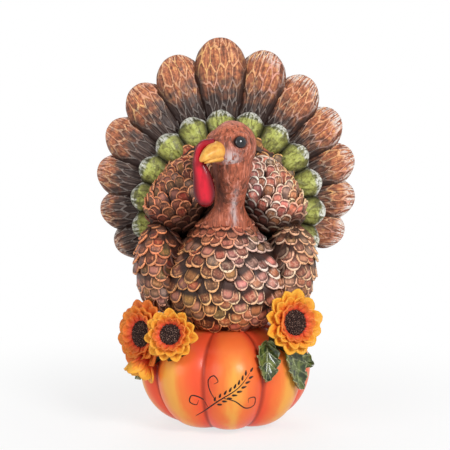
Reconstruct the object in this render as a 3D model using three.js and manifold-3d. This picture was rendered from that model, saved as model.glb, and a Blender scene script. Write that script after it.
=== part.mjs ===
// A cast and painted harvest figure: a turkey sitting on a pumpkin, with sunflowers and leaves
// set on the pumpkin's shoulder. Millimetres, +Z up. The turkey faces -Y, and +X is to the right
// of someone who looks at its breast. The origin is the centre of the felt's underside.
import * as THREE from "three";
import { mergeVertices } from "three/addons/utils/BufferGeometryUtils.js";
import Module from "manifold-3d";

const wasm = await Module();
wasm.setup();

// Fits
const GLUE_GAP = 0.4; // glue line between two castings
const SMALLEST_EDGE = 0.05; // smaller edges than this are closed up after trimming
const PEG_CLEARANCE = 0.3; // round the body's peg in the pumpkin's socket

// Felt and closing plate under the pumpkin
const FELT_THICKNESS = 1.5;
const FELT_MARGIN = 1; // from the felt's edge to the foot's grooves
const PLATE_THICKNESS = 3;
const PLATE_LEDGE = 4; // ring of the foot that the felt covers outside the plate

// Pumpkin
const PUMPKIN_RADIUS = 52.5;
const PUMPKIN_HEIGHT = 60;
const WIDEST_HEIGHT = 34;
const FOOT_RADIUS = 23;
const CROWN_RADIUS = 22;
const DIMPLE_DEPTH = 5;
const PUMPKIN_WALL = 6;
const LOBE_COUNT = 8;
const GROOVE_DEPTH = 6;
const GROOVE_TURN = -16.5; // degrees from the front to the nearest groove

// Turkey's body
const BODY_HALF_WIDTH = 36;
const BODY_HALF_DEPTH = 40;
const BODY_HALF_HEIGHT = 39;
const BODY_SINK = 4; // how far the body sits below the pumpkin's crown
const BODY_SAG = 0.14; // how much fuller the belly is than the shoulders
const BODY_WALL = 5;
const PEG_RADIUS = 10;
const PEG_LENGTH = 9;
const AIR_HOLE_RADIUS = 4;

// Neck and head
const NECK_RADIUS = 10.5;
const NECK_FLARE = 14; // added to the neck's radius where it meets the breast
const NECK_WAIST = 0.82; // radius in the neck's middle, as a share of what the flare gives
const NECK_THROAT = 0.32; // added to that share under the head
const NECK_DEPTH = 22; // how far the neck reaches down into the body
const NECK_RISE = 38; // from the top of the body to the middle of the head
const NECK_SIDE = 4;
const HEAD_FORWARD = 25;
const HEAD_HALF_WIDTH = 14;
const HEAD_HALF_LENGTH = 15.2;
const HEAD_HALF_HEIGHT = 15.2;
const HEAD_TURN = 42; // degrees towards -X
const EYE_RADIUS = 4.3;
const EYE_ANGLE = 65; // degrees from the beak round to each eye
const EYE_RISE = 14; // degrees above the middle of the head
const EYE_PROUD = 1.4;

// Beak and snood
const BEAK_LENGTH = 16;
const BEAK_HALF_WIDTH = 7.8;
const BEAK_HALF_HEIGHT = 6;
const BEAK_DROP = 5; // how far the tip hooks down
const BEAK_FALL = 1.5; // from the head's middle down to the beak's
const LOWER_BEAK_LENGTH = 12;
const LOWER_BEAK_HALF_HEIGHT = 2.8;
const SNOOD_LENGTH = 38.5;
const SNOOD_TOP_RADIUS = 2.6;
const SNOOD_END_RADIUS = 6.6;
const SNOOD_FLATNESS = 0.65; // thickness of the flap as a share of its width
const SNOOD_TUCK = 3; // how far the lobe hangs back under the beak

// Shoulders and wings
const SHOULDER_HALF_WIDTH = 20;
const SHOULDER_HALF_DEPTH = 18;
const SHOULDER_HALF_HEIGHT = 24;
const SHOULDER_SPREAD = 30;
const SHOULDER_RISE = 42; // above the middle of the body
const SHOULDER_BACK_SHARE = 0.18; // of the body's half depth, behind its middle
const SHOULDER_LEAN = 8.5; // how far a shoulder's top leans in towards the neck
const WING_HALF_THICKNESS = 15;
const WING_LENGTH_SHARE = 0.64; // of the body's half depth
const WING_HALF_HEIGHT = 26;
const WING_SPREAD = 40;
const WING_RISE = 2;
const WING_TAPER = 0.3;
const WING_LIFT = 0.16; // how far a wing's lower end is drawn up, as a share of its drop
const WING_DRAW = 0.12; // how far it is drawn in towards the body, as a share of its drop

// Tail
const TAIL_COUNT = 13;
const TAIL_STEP = 17.6; // degrees
const TAIL_TURN = -3; // degrees that the whole fan is turned about its middle
const TAIL_TOP_REACH = 106;
const TAIL_SIDE_REACH = 75;
const TAIL_TOP_WIDTH = 33;
const TAIL_SIDE_WIDTH = 26;
const TAIL_THICKNESS = 3.6;
const TAIL_CROWN = 4.5;
const TAIL_ROOT = 22; // distance of the feathers' roots from the middle of the fan
const TAIL_TILT = 12; // degrees, each feather laid under the one nearer the top
const TAIL_TUCK = 3.6; // how far the pairs lie behind the top feather
const TAIL_LEAN = 5; // degrees that the fan leans back
const TAIL_RISE = 33; // above the middle of the body
const TAIL_SIDE = 1.5;
const TAIL_INSET = 6; // in front of the body's back
const MANTLE_RADIUS = 45; // the scaled back between the shoulders and the green feathers
const MANTLE_HALF_DEPTH = 14;
const MANTLE_BACK = 2.5;
const RUMP_RADIUS = 30;
const RUMP_HALF_DEPTH = 12;
const COVERT_COUNT = 12;
const COVERT_STEP = 19.5; // degrees
const COVERT_TURN = -102.5; // degrees from the top to the first green feather
const COVERT_REACH = 61;
const COVERT_ROOT = 34;
const COVERT_WIDTH = 19.5;
const COVERT_THICKNESS = 4;
const COVERT_CROWN = 3.6;
const COVERT_FORWARD = 7; // in front of the tail feathers

// Flowers and leaves
const FLOWER_RADIUS = 19;
const SEED_SHARE = 0.42; // radius of the seed disc, as a share of the petals' radius
const PETAL_THICKNESS = 2.4;
const PETAL_CUP = 3.5; // how far the petal tips stand forward
const PETAL_NOTCH = 0.2; // depth of the notches between petals, as a share of their radius
const SEED_DOME = 2;
const CALYX_SHARE = 0.5; // radius of a flower's back, as a share of its petals' radius
const CALYX_LENGTH = 16;
const CALYX_DROP = 11; // how far a flower's back leans down to the pumpkin
const BUD_RADIUS = 8.5;
const BUD_BEARING = -62;
const BUD_ANGLE = 13;
const LEAF_LENGTH = 27;
const LEAF_WIDTH = 18;
const LEAF_THICKNESS = 2.6;
const LEAF_FOLD = 2.4;
const LEAF_TEETH = 4;
const LEAF_LIFT = 1; // from the pumpkin's skin to the middle of a leaf

const UP = new THREE.Vector3(0, 0, 1);
const rad = THREE.MathUtils.degToRad;
const lerp = THREE.MathUtils.lerp;

// Heights and places that follow from the sizes above
const crownZ = FELT_THICKNESS + PUMPKIN_HEIGHT;
const widestZ = FELT_THICKNESS + WIDEST_HEIGHT;
const dimpleZ = crownZ - DIMPLE_DEPTH;
const bodyZ = crownZ - BODY_SINK + BODY_HALF_HEIGHT;
const bodyTopZ = bodyZ + BODY_HALF_HEIGHT;
const headZ = bodyTopZ + NECK_RISE;
const feltRadius = FOOT_RADIUS - GROOVE_DEPTH - FELT_MARGIN;
const plateRadius = feltRadius - PLATE_LEDGE;

const figure = new THREE.Group();
const baseGroup = new THREE.Group();
const turkeyGroup = new THREE.Group();
turkeyGroup.position.z = bodyZ;
const headGroup = new THREE.Group();
headGroup.position.set(NECK_SIDE, -HEAD_FORWARD, headZ - bodyZ);
headGroup.rotation.z = -rad(HEAD_TURN);
const fanGroup = new THREE.Group();
fanGroup.position.set(TAIL_SIDE, BODY_HALF_DEPTH - TAIL_INSET, TAIL_RISE);
fanGroup.rotation.x = -rad(TAIL_LEAN);
turkeyGroup.add(headGroup, fanGroup);
figure.add(baseGroup, turkeyGroup);

// Paint on cast resin
function paint(color, roughness) {
  return new THREE.MeshStandardMaterial({ color, roughness, metalness: 0 });
}
const featherPaint = () => paint(0x8a4a2c, 0.6);
const skinPaint = () => paint(0x9a5436, 0.55);
const tailPaint = () => paint(0x8b5236, 0.6);
const covertPaint = () => paint(0x7f9440, 0.55);
const beakPaint = () => paint(0xe6a436, 0.35);
const petalPaint = () => paint(0xf0902a, 0.5);
const seedPaint = () => paint(0x3a2420, 0.7);
const leafPaint = () => paint(0x4a5d2c, 0.3);

// Geometry with shared vertices and nothing but positions
function bare(geometry) {
  const copy = geometry.index ? geometry.toNonIndexed() : geometry.clone();
  copy.deleteAttribute("normal");
  copy.deleteAttribute("uv");
  return mergeVertices(copy, 1e-4);
}

// A closed geometry as a solid that can be cut and joined
function solidOf(geometry) {
  const merged = bare(geometry);
  const corners = merged.index.array;
  const triVerts = [];
  for (let i = 0; i < corners.length; i += 3) {
    const [a, b, c] = corners.slice(i, i + 3);
    if (a !== b && b !== c && c !== a) triVerts.push(a, b, c);
  }
  const vertProperties = merged.attributes.position.array;
  return new wasm.Manifold(
    new wasm.Mesh({ numProp: 3, vertProperties, triVerts: new Uint32Array(triVerts) }),
  );
}

// The same geometry with every vertex moved outwards
function grown(geometry, distance) {
  const merged = bare(geometry);
  merged.computeVertexNormals();
  const { position, normal } = merged.attributes;
  for (let i = 0; i < position.count; i++) {
    position.setXYZ(
      i,
      position.getX(i) + distance * normal.getX(i),
      position.getY(i) + distance * normal.getY(i),
      position.getZ(i) + distance * normal.getZ(i),
    );
  }
  return solidOf(merged);
}

function geometryOf(solid) {
  const mesh = solid.getMesh();
  const positions = new Float32Array(mesh.numVert * 3);
  for (let i = 0; i < mesh.numVert; i++) {
    positions.set(mesh.vertProperties.subarray(i * mesh.numProp, i * mesh.numProp + 3), i * 3);
  }
  return new THREE.BufferGeometry()
    .setAttribute("position", new THREE.BufferAttribute(positions, 3))
    .setIndex(new THREE.BufferAttribute(mesh.triVerts, 1));
}

// Moves each vertex of a geometry to where map puts it
function shaped(geometry, map) {
  const position = geometry.attributes.position;
  const point = new THREE.Vector3();
  for (let i = 0; i < position.count; i++) {
    point.fromBufferAttribute(position, i);
    map(point);
    position.setXYZ(i, point.x, point.y, point.z);
  }
  return geometry;
}

// A unit ball with its poles on Z
function ball(around, rows) {
  return new THREE.SphereGeometry(1, around, rows).rotateX(Math.PI / 2);
}

// An upright cylinder from low to high
function post(radius, low, high, around) {
  return new THREE.CylinderGeometry(radius, radius, high - low, around)
    .rotateX(Math.PI / 2)
    .translate(0, 0, (low + high) / 2);
}

function touching(a, b) {
  return [0, 1, 2].every((k) => a.min[k] < b.max[k] && b.min[k] < a.max[k]);
}

function largest(solid) {
  const bodies = solid.decompose();
  return bodies.reduce((best, body) => (body.volume() > best.volume() ? body : best));
}

// Adds a piece to its group, trimmed back by a glue line from every piece seated before it.
// finish makes a casting's own pegs and hollows, in the figure's frame.
const seated = [];
function seat(group, name, geometry, material, turn = 0, finish = (solid) => solid) {
  const mesh = new THREE.Mesh(geometry, material);
  mesh.name = name;
  mesh.rotation.y = turn;
  group.add(mesh);
  mesh.updateWorldMatrix(true, false);
  const inFigure = geometry.clone().applyMatrix4(mesh.matrixWorld);
  let solid = solidOf(inFigure);
  const box = solid.boundingBox();
  for (const other of seated) {
    if (touching(box, other.boundingBox())) solid = solid.subtract(other);
  }
  solid = finish(largest(solid)).simplify(SMALLEST_EDGE);
  seated.push(grown(inFigure, GLUE_GAP));
  mesh.geometry = geometryOf(solid).applyMatrix4(mesh.matrixWorld.clone().invert());
}

// Felt pad and closing plate
baseGroup.add(
  Object.assign(
    new THREE.Mesh(post(feltRadius, 0, FELT_THICKNESS, 40), paint(0x2b2f2a, 0.95)),
    { name: "felt_pad" },
  ),
  Object.assign(
    new THREE.Mesh(
      post(plateRadius, FELT_THICKNESS, FELT_THICKNESS + PLATE_THICKNESS, 32),
      paint(0xc9c2b4, 0.8),
    ),
    { name: "closing_plate" },
  ),
);

// Pumpkin: a lathe profile of three arcs, with grooves pressed in between the lobes
const ARC_STEPS = 5;
const DIMPLE_STEPS = 3;
const STEPS_PER_LOBE = 8;

function arc(steps, from, point) {
  const points = [];
  for (let i = from; i <= steps; i++) points.push(point((i / steps) * (Math.PI / 2)));
  return points;
}

function pumpkinProfile() {
  return [
    new THREE.Vector2(0, FELT_THICKNESS),
    ...arc(ARC_STEPS, 0, (a) => pumpkinArc(a - Math.PI / 2)),
    ...arc(ARC_STEPS, 1, pumpkinArc),
    ...arc(DIMPLE_STEPS, 1, (a) => {
      const inward = a / (Math.PI / 2);
      return new THREE.Vector2(CROWN_RADIUS * (1 - inward), crownZ - DIMPLE_DEPTH * inward ** 2);
    }),
  ];
}

// Radius and height on the pumpkin's crest: -90 degrees is the foot, 0 the widest ring, 90 the crown
function pumpkinArc(angle) {
  const inner = angle < 0 ? FOOT_RADIUS : CROWN_RADIUS;
  const rise = angle < 0 ? WIDEST_HEIGHT : PUMPKIN_HEIGHT - WIDEST_HEIGHT;
  return new THREE.Vector2(
    inner + (PUMPKIN_RADIUS - inner) * Math.cos(angle),
    widestZ + rise * Math.sin(angle),
  );
}

// Share of the groove's depth at a bearing from the front, in radians
function grooveShare(bearing) {
  const lobes = (LOBE_COUNT * (bearing - rad(GROOVE_TURN))) / (2 * Math.PI);
  const off = 2 * (lobes - Math.floor(lobes)) - 1; // 0 on a lobe's crest, 1 either way in a groove
  return off * off;
}

function pumpkinGeometry() {
  const lathe = new THREE.LatheGeometry(pumpkinProfile(), LOBE_COUNT * STEPS_PER_LOBE);
  lathe.rotateX(Math.PI / 2).rotateZ(rad(GROOVE_TURN));
  return shaped(lathe, (p) => {
    const radius = Math.hypot(p.x, p.y);
    if (radius < 1e-6) return;
    const groove = grooveShare(Math.atan2(p.x, -p.y));
    const depth = GROOVE_DEPTH * Math.min(1, radius / CROWN_RADIUS) * groove;
    p.x *= 1 - depth / radius;
    p.y *= 1 - depth / radius;
  });
}

function pumpkinCavity() {
  const hole = plateRadius + GLUE_GAP;
  const plateTop = FELT_THICKNESS + PLATE_THICKNESS;
  const radius = PUMPKIN_RADIUS - GROOVE_DEPTH - PUMPKIN_WALL;
  const top = dimpleZ - PUMPKIN_WALL;
  const profile = [
    new THREE.Vector2(0, FELT_THICKNESS - 1),
    new THREE.Vector2(hole, FELT_THICKNESS - 1),
    ...arc(ARC_STEPS, 0, (a) =>
      new THREE.Vector2(
        hole + (radius - hole) * Math.sin(a),
        plateTop + (widestZ - plateTop) * (1 - Math.cos(a)),
      )),
    ...arc(ARC_STEPS, 1, (a) =>
      new THREE.Vector2(radius * Math.cos(a), widestZ + (top - widestZ) * Math.sin(a))),
  ];
  profile[profile.length - 1].x = 0;
  return new THREE.LatheGeometry(profile, 20).rotateX(Math.PI / 2);
}

const pegLow = dimpleZ - PEG_LENGTH;
seat(baseGroup, "pumpkin_shell", pumpkinGeometry(), paint(0xee7030, 0.3), 0, (solid) =>
  solid
    .subtract(solidOf(pumpkinCavity()))
    .subtract(solidOf(post(PEG_RADIUS + PEG_CLEARANCE, pegLow - 1, crownZ, 24))));

// Body: a pear-shaped hollow casting with a peg that drops into the pumpkin
function bodyGeometry(wall, around, rows) {
  return shaped(ball(around, rows), (p) => {
    const full = 1 - BODY_SAG * p.z;
    p.x *= (BODY_HALF_WIDTH - wall) * full;
    p.y *= (BODY_HALF_DEPTH - wall) * full;
    p.z *= BODY_HALF_HEIGHT - wall;
  });
}

seat(turkeyGroup, "body", bodyGeometry(0, 24, 14), featherPaint(), 0, (solid) =>
  solid
    .add(solidOf(post(PEG_RADIUS, pegLow, dimpleZ + 2 * BODY_WALL, 24)))
    .subtract(solidOf(bodyGeometry(BODY_WALL, 14, 8).translate(0, 0, bodyZ)))
    .subtract(solidOf(post(AIR_HOLE_RADIUS, pegLow - 1, bodyZ, 12))));

// Head, with an eye let into each side
for (const [side, name] of [[-1, "eye_right"], [1, "eye_left"]]) {
  const round = side * rad(EYE_ANGLE);
  const out = new THREE.Vector3(
    Math.sin(round) * Math.cos(rad(EYE_RISE)) * HEAD_HALF_WIDTH,
    -Math.cos(round) * Math.cos(rad(EYE_RISE)) * HEAD_HALF_LENGTH,
    Math.sin(rad(EYE_RISE)) * HEAD_HALF_HEIGHT,
  );
  const inset = 1 - (EYE_RADIUS - EYE_PROUD) / out.length();
  const eye = ball(12, 8).scale(EYE_RADIUS, EYE_RADIUS, EYE_RADIUS);
  eye.translate(...out.multiplyScalar(inset).toArray());
  seat(headGroup, name, eye, paint(0x0b0b10, 0.08));
}

function headGeometry() {
  return shaped(ball(18, 12), (p) => {
    const cheek = 1 - 0.12 * Math.max(0, p.z);
    p.x *= HEAD_HALF_WIDTH * cheek;
    p.y *= HEAD_HALF_LENGTH;
    p.z *= HEAD_HALF_HEIGHT;
  });
}
seat(headGroup, "head", headGeometry(), skinPaint());

// Neck: level rings that swing from the breast up into the head
function neckGeometry() {
  const bottom = bodyTopZ - NECK_DEPTH;
  const tube = new THREE.CylinderGeometry(1, 1, 1, 16, 10).rotateX(Math.PI / 2);
  return shaped(tube, (p) => {
    const up = p.z + 0.5;
    const swing = THREE.MathUtils.smoothstep(up, 0, 0.75);
    const low = THREE.MathUtils.smoothstep(0.5 - up, 0, 0.25);
    const throat = NECK_THROAT * THREE.MathUtils.smoothstep(up, 0.55, 0.8);
    const radius = (NECK_RADIUS + NECK_FLARE * (1 - up) ** 3) * (lerp(NECK_WAIST, 1, low) + throat);
    p.x = NECK_SIDE * swing + radius * p.x;
    p.y = -lerp(BODY_HALF_DEPTH / 6, HEAD_FORWARD, swing) + radius * p.y;
    p.z = lerp(bottom, headZ, up) - bodyZ;
  });
}
seat(turkeyGroup, "neck", neckGeometry(), skinPaint());

// Beak: two tapered halves on the front of the head, the upper one hooked
function beakGeometry(length, halfWidth, halfHeight, drop) {
  return shaped(ball(12, 8), (p) => {
    const out = Math.max(0, -p.y);
    p.x *= halfWidth * (1 - 0.45 * out);
    p.z = p.z * halfHeight * (1 - 0.3 * out) - drop * out ** 2;
    p.y *= length;
  });
}
const beakRoot = -HEAD_HALF_LENGTH + 3;
seat(
  headGroup,
  "upper_beak",
  beakGeometry(BEAK_LENGTH, BEAK_HALF_WIDTH, BEAK_HALF_HEIGHT, BEAK_DROP)
    .translate(0, beakRoot, -BEAK_FALL),
  beakPaint(),
);
seat(
  headGroup,
  "lower_beak",
  beakGeometry(LOWER_BEAK_LENGTH, BEAK_HALF_WIDTH * 0.8, LOWER_BEAK_HALF_HEIGHT, BEAK_DROP / 2)
    .translate(0, beakRoot, -BEAK_FALL - BEAK_HALF_HEIGHT * 0.7),
  beakPaint(),
);

// Snood: a fleshy flap that starts over the beak, falls down its right side and ends in a lobe
function snoodGeometry() {
  const side = -BEAK_HALF_WIDTH - SNOOD_TOP_RADIUS / 3;
  const over = beakRoot - BEAK_LENGTH / 2;
  const top = BEAK_HALF_HEIGHT - BEAK_FALL - SNOOD_TOP_RADIUS / 2;
  const path = new THREE.CatmullRomCurve3([
    new THREE.Vector3(0, beakRoot - SNOOD_TOP_RADIUS, top),
    new THREE.Vector3(side * 0.68, over, top - SNOOD_LENGTH * 0.04),
    new THREE.Vector3(side, over - 1, top - SNOOD_LENGTH * 0.25),
    new THREE.Vector3(side * 0.76, over + SNOOD_TUCK / 2, top - SNOOD_LENGTH * 0.6),
    new THREE.Vector3(side * 0.48, over + SNOOD_TUCK, top - SNOOD_LENGTH),
  ]);
  const thin = new THREE.Vector3(0, 1, 0).applyAxisAngle(UP, rad(HEAD_TURN));
  const tube = new THREE.CylinderGeometry(1, 1, 1, 10, 10).rotateX(Math.PI / 2);
  return shaped(tube, (p) => {
    const along = 0.5 - p.z;
    const wide = path.getTangent(along).cross(thin).normalize();
    const end = Math.sqrt(Math.max(0.12, 1 - Math.max(0, (along - 0.8) / 0.2) ** 2));
    const swell = THREE.MathUtils.smoothstep(along, 0.35, 0.9);
    const radius = lerp(SNOOD_TOP_RADIUS, SNOOD_END_RADIUS, swell) * end;
    const { x, y } = p;
    p.copy(path.getPoint(along))
      .addScaledVector(wide, radius * x)
      .addScaledVector(thin, radius * SNOOD_FLATNESS * y);
  });
}
seat(headGroup, "snood", snoodGeometry(), paint(0xb41a2c, 0.15));

// Shoulders and wings, one of each on both sides of the body
for (const [side, name] of [[-1, "right"], [1, "left"]]) {
  const shoulder = shaped(ball(16, 10), (p) => {
    const lean = SHOULDER_LEAN * THREE.MathUtils.smoothstep(p.z, -0.5, 0.9);
    p.x = SHOULDER_HALF_WIDTH * p.x + side * (SHOULDER_SPREAD - lean);
    p.y = SHOULDER_HALF_DEPTH * p.y + BODY_HALF_DEPTH * SHOULDER_BACK_SHARE;
    p.z = SHOULDER_HALF_HEIGHT * p.z + SHOULDER_RISE;
  });
  seat(turkeyGroup, `shoulder_${name}`, shoulder, featherPaint());
  const wing = shaped(ball(16, 10), (p) => {
    const tip = 1 - WING_TAPER * Math.max(0, -p.z) ** 2;
    const below = WING_HALF_HEIGHT * Math.min(0, p.z);
    p.x = WING_HALF_THICKNESS * tip * p.x + side * (WING_SPREAD + WING_DRAW * below);
    p.y *= BODY_HALF_DEPTH * WING_LENGTH_SHARE * tip;
    p.z = WING_HALF_HEIGHT * p.z - WING_LIFT * below + WING_RISE;
  });
  seat(turkeyGroup, `wing_${name}`, wing, featherPaint());
}

// Mantle in front of the fan, and the rump that carries the fan from behind
const mantle = shaped(ball(20, 10), (p) => {
  p.x *= MANTLE_RADIUS;
  p.z *= MANTLE_RADIUS;
  p.y = p.y * (p.y < 0 ? MANTLE_HALF_DEPTH : MANTLE_BACK) - COVERT_FORWARD;
});
seat(fanGroup, "mantle", mantle, featherPaint());
const rump = ball(18, 8).scale(RUMP_RADIUS, RUMP_HALF_DEPTH, RUMP_RADIUS).translate(0, TAIL_TUCK, 0);
seat(fanGroup, "rump", rump, featherPaint());

// A feather stands up from the middle of the fan: a crowned tile that widens from its root to a
// round tip
const ROOT_SHARE = 0.22; // width at the root, as a share of the full width
const TIP_SHARE = 0.8; // width where the round of the tip ends
const FULL_AT = 0.78; // share of the length where the feather is widest
const CROWNED_AT = 0.5; // share of the length where the crown has its full height
const TIP_FALL = 0.6; // share of the crown's height that is lost at the tip
const PILLOW = 2.2; // how flat the crown is across: 2 is an arch, more is a pillow

function featherGeometry(root, reach, width, thickness, crown, tilt) {
  const tile = new THREE.BoxGeometry(2, 1, 1, 6, 1, 7);
  const tipDrop = width * 0.24;
  shaped(tile, (p) => {
    const along = 1 - (0.5 - p.z) ** 1.3;
    const across = p.x;
    const back = p.y > 0;
    const swell = lerp(ROOT_SHARE, 1, Math.min(1, along / FULL_AT));
    const tip = Math.max(0, (along - FULL_AT) / (1 - FULL_AT)) ** 2;
    p.x = (width / 2) * across * (swell - (1 - TIP_SHARE) * tip);
    p.z = lerp(root, reach, along) - tipDrop * Math.abs(across) ** 2.3 * along ** 4;
    const half = (thickness / 2) * (1 - 0.35 * across ** 2);
    const rise = THREE.MathUtils.smoothstep(along, 0, CROWNED_AT) * (1 - TIP_FALL * tip);
    p.y = -crown * (1 - Math.abs(across) ** PILLOW) * rise + (back ? half : -half);
  });
  return tile.rotateZ(tilt);
}

// Ring of green feathers in front of the fan, each laid under the one before it
for (let i = 0; i < COVERT_COUNT; i++) {
  const geometry = featherGeometry(
    COVERT_ROOT, COVERT_REACH, COVERT_WIDTH, COVERT_THICKNESS, COVERT_CROWN, 0,
  ).translate(0, -COVERT_FORWARD, 0);
  const turn = rad(COVERT_TURN + i * COVERT_STEP);
  seat(fanGroup, `green_feather_${i + 1}`, geometry, covertPaint(), turn);
}

// Fan: the top feather first, then the pairs on both sides, each under the one above
const pairs = (TAIL_COUNT - 1) / 2;
for (let i = 0; i <= pairs; i++) {
  const down = i / pairs;
  const reach = lerp(TAIL_TOP_REACH, TAIL_SIDE_REACH, down);
  const width = lerp(TAIL_TOP_WIDTH, TAIL_SIDE_WIDTH, down);
  for (const side of i === 0 ? [0] : [-1, 1]) {
    const geometry = featherGeometry(
      TAIL_ROOT, reach, width, TAIL_THICKNESS, TAIL_CROWN, -side * rad(TAIL_TILT),
    );
    if (side !== 0) geometry.translate(0, TAIL_TUCK, 0);
    const place = side < 0 ? `right_${i}` : `left_${i}`;
    const name = side === 0 ? "tail_feather_top" : `tail_feather_${place}`;
    seat(fanGroup, name, geometry, tailPaint(), rad(TAIL_TURN + side * i * TAIL_STEP));
  }
}

// A place on the pumpkin's crest, by its bearing from the front and its angle up the profile
function onPumpkin(bearing, angle) {
  const crest = pumpkinArc(rad(angle));
  return new THREE.Vector3(
    crest.x * Math.sin(rad(bearing)),
    -crest.x * Math.cos(rad(bearing)),
    crest.y,
  );
}

function facing(bearing, rise) {
  return new THREE.Vector3(
    Math.sin(rad(bearing)) * Math.cos(rad(rise)),
    -Math.cos(rad(bearing)) * Math.cos(rad(rise)),
    Math.sin(rad(rise)),
  );
}

// Turns a group so that its Z looks along out, with its Y as near as can be to up
function aim(group, out, up) {
  const z = out.clone().normalize();
  const x = new THREE.Vector3().crossVectors(up, z).normalize();
  group.quaternion.setFromRotationMatrix(
    new THREE.Matrix4().makeBasis(x, new THREE.Vector3().crossVectors(z, x), z),
  );
}

const FLOWERS = [
  // where the middle is: bearing, share of the pumpkin's radius, and share of the flower's radius
  // above the crown; which way it looks: bearing and lift in degrees; its size and its petals
  { name: "right_front", bearing: -38, share: 1.02, rise: 0.02, look: -14, lift: 14, size: 0.82, petals: 14 },
  { name: "right_back", bearing: -66, share: 1.03, rise: -0.1, look: -52, lift: 8, size: 1.05, petals: 16 },
  { name: "left", bearing: 51, share: 0.99, rise: 0.37, look: 32, lift: 12, size: 1, petals: 16 },
];

function petalGeometry(radius, petals) {
  const rim = PETAL_CUP + PETAL_THICKNESS / 2;
  const profile = [
    [0, -CALYX_LENGTH],
    [radius * CALYX_SHARE, -CALYX_LENGTH],
    [radius * 0.75, -PETAL_THICKNESS],
    [radius, rim - PETAL_THICKNESS],
    [radius * 0.98, rim],
    [radius * 0.6, PETAL_CUP * 0.3 + PETAL_THICKNESS / 2],
    [radius * SEED_SHARE * 0.8, PETAL_THICKNESS / 2],
    [0, PETAL_THICKNESS / 2],
  ].map(([r, z]) => new THREE.Vector2(r, z));
  const lathe = new THREE.LatheGeometry(profile, petals * 2).rotateX(Math.PI / 2);
  return shaped(lathe, (p) => {
    const out = Math.max(0, Math.hypot(p.x, p.y) - radius * 0.7) / (radius * 0.3);
    const notch = PETAL_NOTCH * (1 - Math.abs(Math.cos((petals / 2) * Math.atan2(p.y, p.x))));
    p.x *= 1 - notch * out;
    p.y *= 1 - notch * out;
    p.y += CALYX_DROP * Math.min(0, p.z / CALYX_LENGTH);
  });
}

for (const flower of FLOWERS) {
  const group = new THREE.Group();
  const look = facing(flower.look, flower.lift);
  group.position
    .copy(facing(flower.bearing, 0))
    .multiplyScalar(flower.share * PUMPKIN_RADIUS)
    .setZ(crownZ + flower.rise * FLOWER_RADIUS);
  aim(group, look, UP);
  figure.add(group);
  const radius = flower.size * FLOWER_RADIUS;
  const seeds = ball(14, 6)
    .scale(radius * SEED_SHARE, radius * SEED_SHARE, SEED_DOME)
    .translate(0, 0, PETAL_THICKNESS / 2);
  seat(group, `seed_disc_${flower.name}`, seeds, seedPaint());
  seat(group, `sunflower_${flower.name}`, petalGeometry(radius, flower.petals), petalPaint());
}

// A bud under the flowers on the right
const bud = new THREE.Group();
const budOut = facing(BUD_BEARING, BUD_ANGLE);
bud.position.copy(onPumpkin(BUD_BEARING, BUD_ANGLE)).addScaledVector(budOut, BUD_RADIUS * 0.4);
aim(bud, budOut, UP);
figure.add(bud);
seat(bud, "bud_right", ball(14, 8).scale(BUD_RADIUS, BUD_RADIUS, BUD_RADIUS * 0.8), petalPaint());

const LEAVES = [
  // bearing and angle of the leaf's middle on the pumpkin, its turn from straight down, and its size
  { name: "left_inner", bearing: 32, angle: 24, turn: -16, size: 0.94 },
  { name: "left_middle", bearing: 52, angle: 11, turn: 12, size: 1 },
  { name: "left_outer", bearing: 74, angle: 19, turn: 40, size: 0.7 },
  { name: "right_lower", bearing: -77, angle: 12, turn: 8, size: 0.88 },
  { name: "right_back", bearing: -96, angle: 26, turn: -30, size: 0.82 },
];

function leafGeometry(length, width) {
  const slab = new THREE.BoxGeometry(2, 2, 1, 2, 2 * LEAF_TEETH, 1);
  return shaped(slab, (p) => {
    const along = (p.y + 1) / 2;
    const tooth = 1 - 0.14 * Math.abs(Math.sin(along * Math.PI * LEAF_TEETH));
    const half = (width / 2) * Math.max(0.12, Math.sin(Math.PI * along ** 0.8) ** 0.6) * tooth;
    const across = p.x;
    const drop = (p.y * length) ** 2 / (8 * PUMPKIN_RADIUS);
    p.x = across * half;
    p.y *= length / 2;
    p.z = p.z * LEAF_THICKNESS + LEAF_FOLD * Math.abs(across) - drop;
  });
}

for (const leaf of LEAVES) {
  const group = new THREE.Group();
  const out = facing(leaf.bearing, leaf.angle);
  const lift = LEAF_LIFT - GROOVE_DEPTH * grooveShare(rad(leaf.bearing));
  group.position.copy(onPumpkin(leaf.bearing, leaf.angle)).addScaledVector(out, lift);
  aim(group, out, UP);
  group.rotateZ(rad(leaf.turn));
  figure.add(group);
  seat(
    group,
    `leaf_${leaf.name}`,
    leafGeometry(leaf.size * LEAF_LENGTH, leaf.size * LEAF_WIDTH),
    leafPaint(),
  );
}

export default figure;
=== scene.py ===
"""Dresses the packed turkey figure: carved plumage, fan, flowers, pumpkin and their paint.

Metres, +Z up. The turkey faces -Y and +X is its left. Sizes repeat those of the solids.
"""

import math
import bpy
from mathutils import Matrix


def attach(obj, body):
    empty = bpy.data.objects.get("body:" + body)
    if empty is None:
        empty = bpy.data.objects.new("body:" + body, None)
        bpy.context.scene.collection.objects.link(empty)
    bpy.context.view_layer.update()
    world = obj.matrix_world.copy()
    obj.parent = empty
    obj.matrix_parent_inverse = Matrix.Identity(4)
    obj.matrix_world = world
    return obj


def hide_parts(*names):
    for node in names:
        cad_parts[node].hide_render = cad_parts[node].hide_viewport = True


bl_info = {
    "name": "Harvest Turkey Figure",
    "version": (1, 0, 0),
    "blender": (4, 5, 0),
    "location": "View3D > Sidebar > Turkey",
    "description": "Models and paints a cast turkey that sits on a pumpkin",
    "category": "Object",
}

import bpy
import numpy as np
from bpy.props import FloatProperty, FloatVectorProperty, IntProperty, PointerProperty
from mathutils import Matrix, Vector, noise

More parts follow.
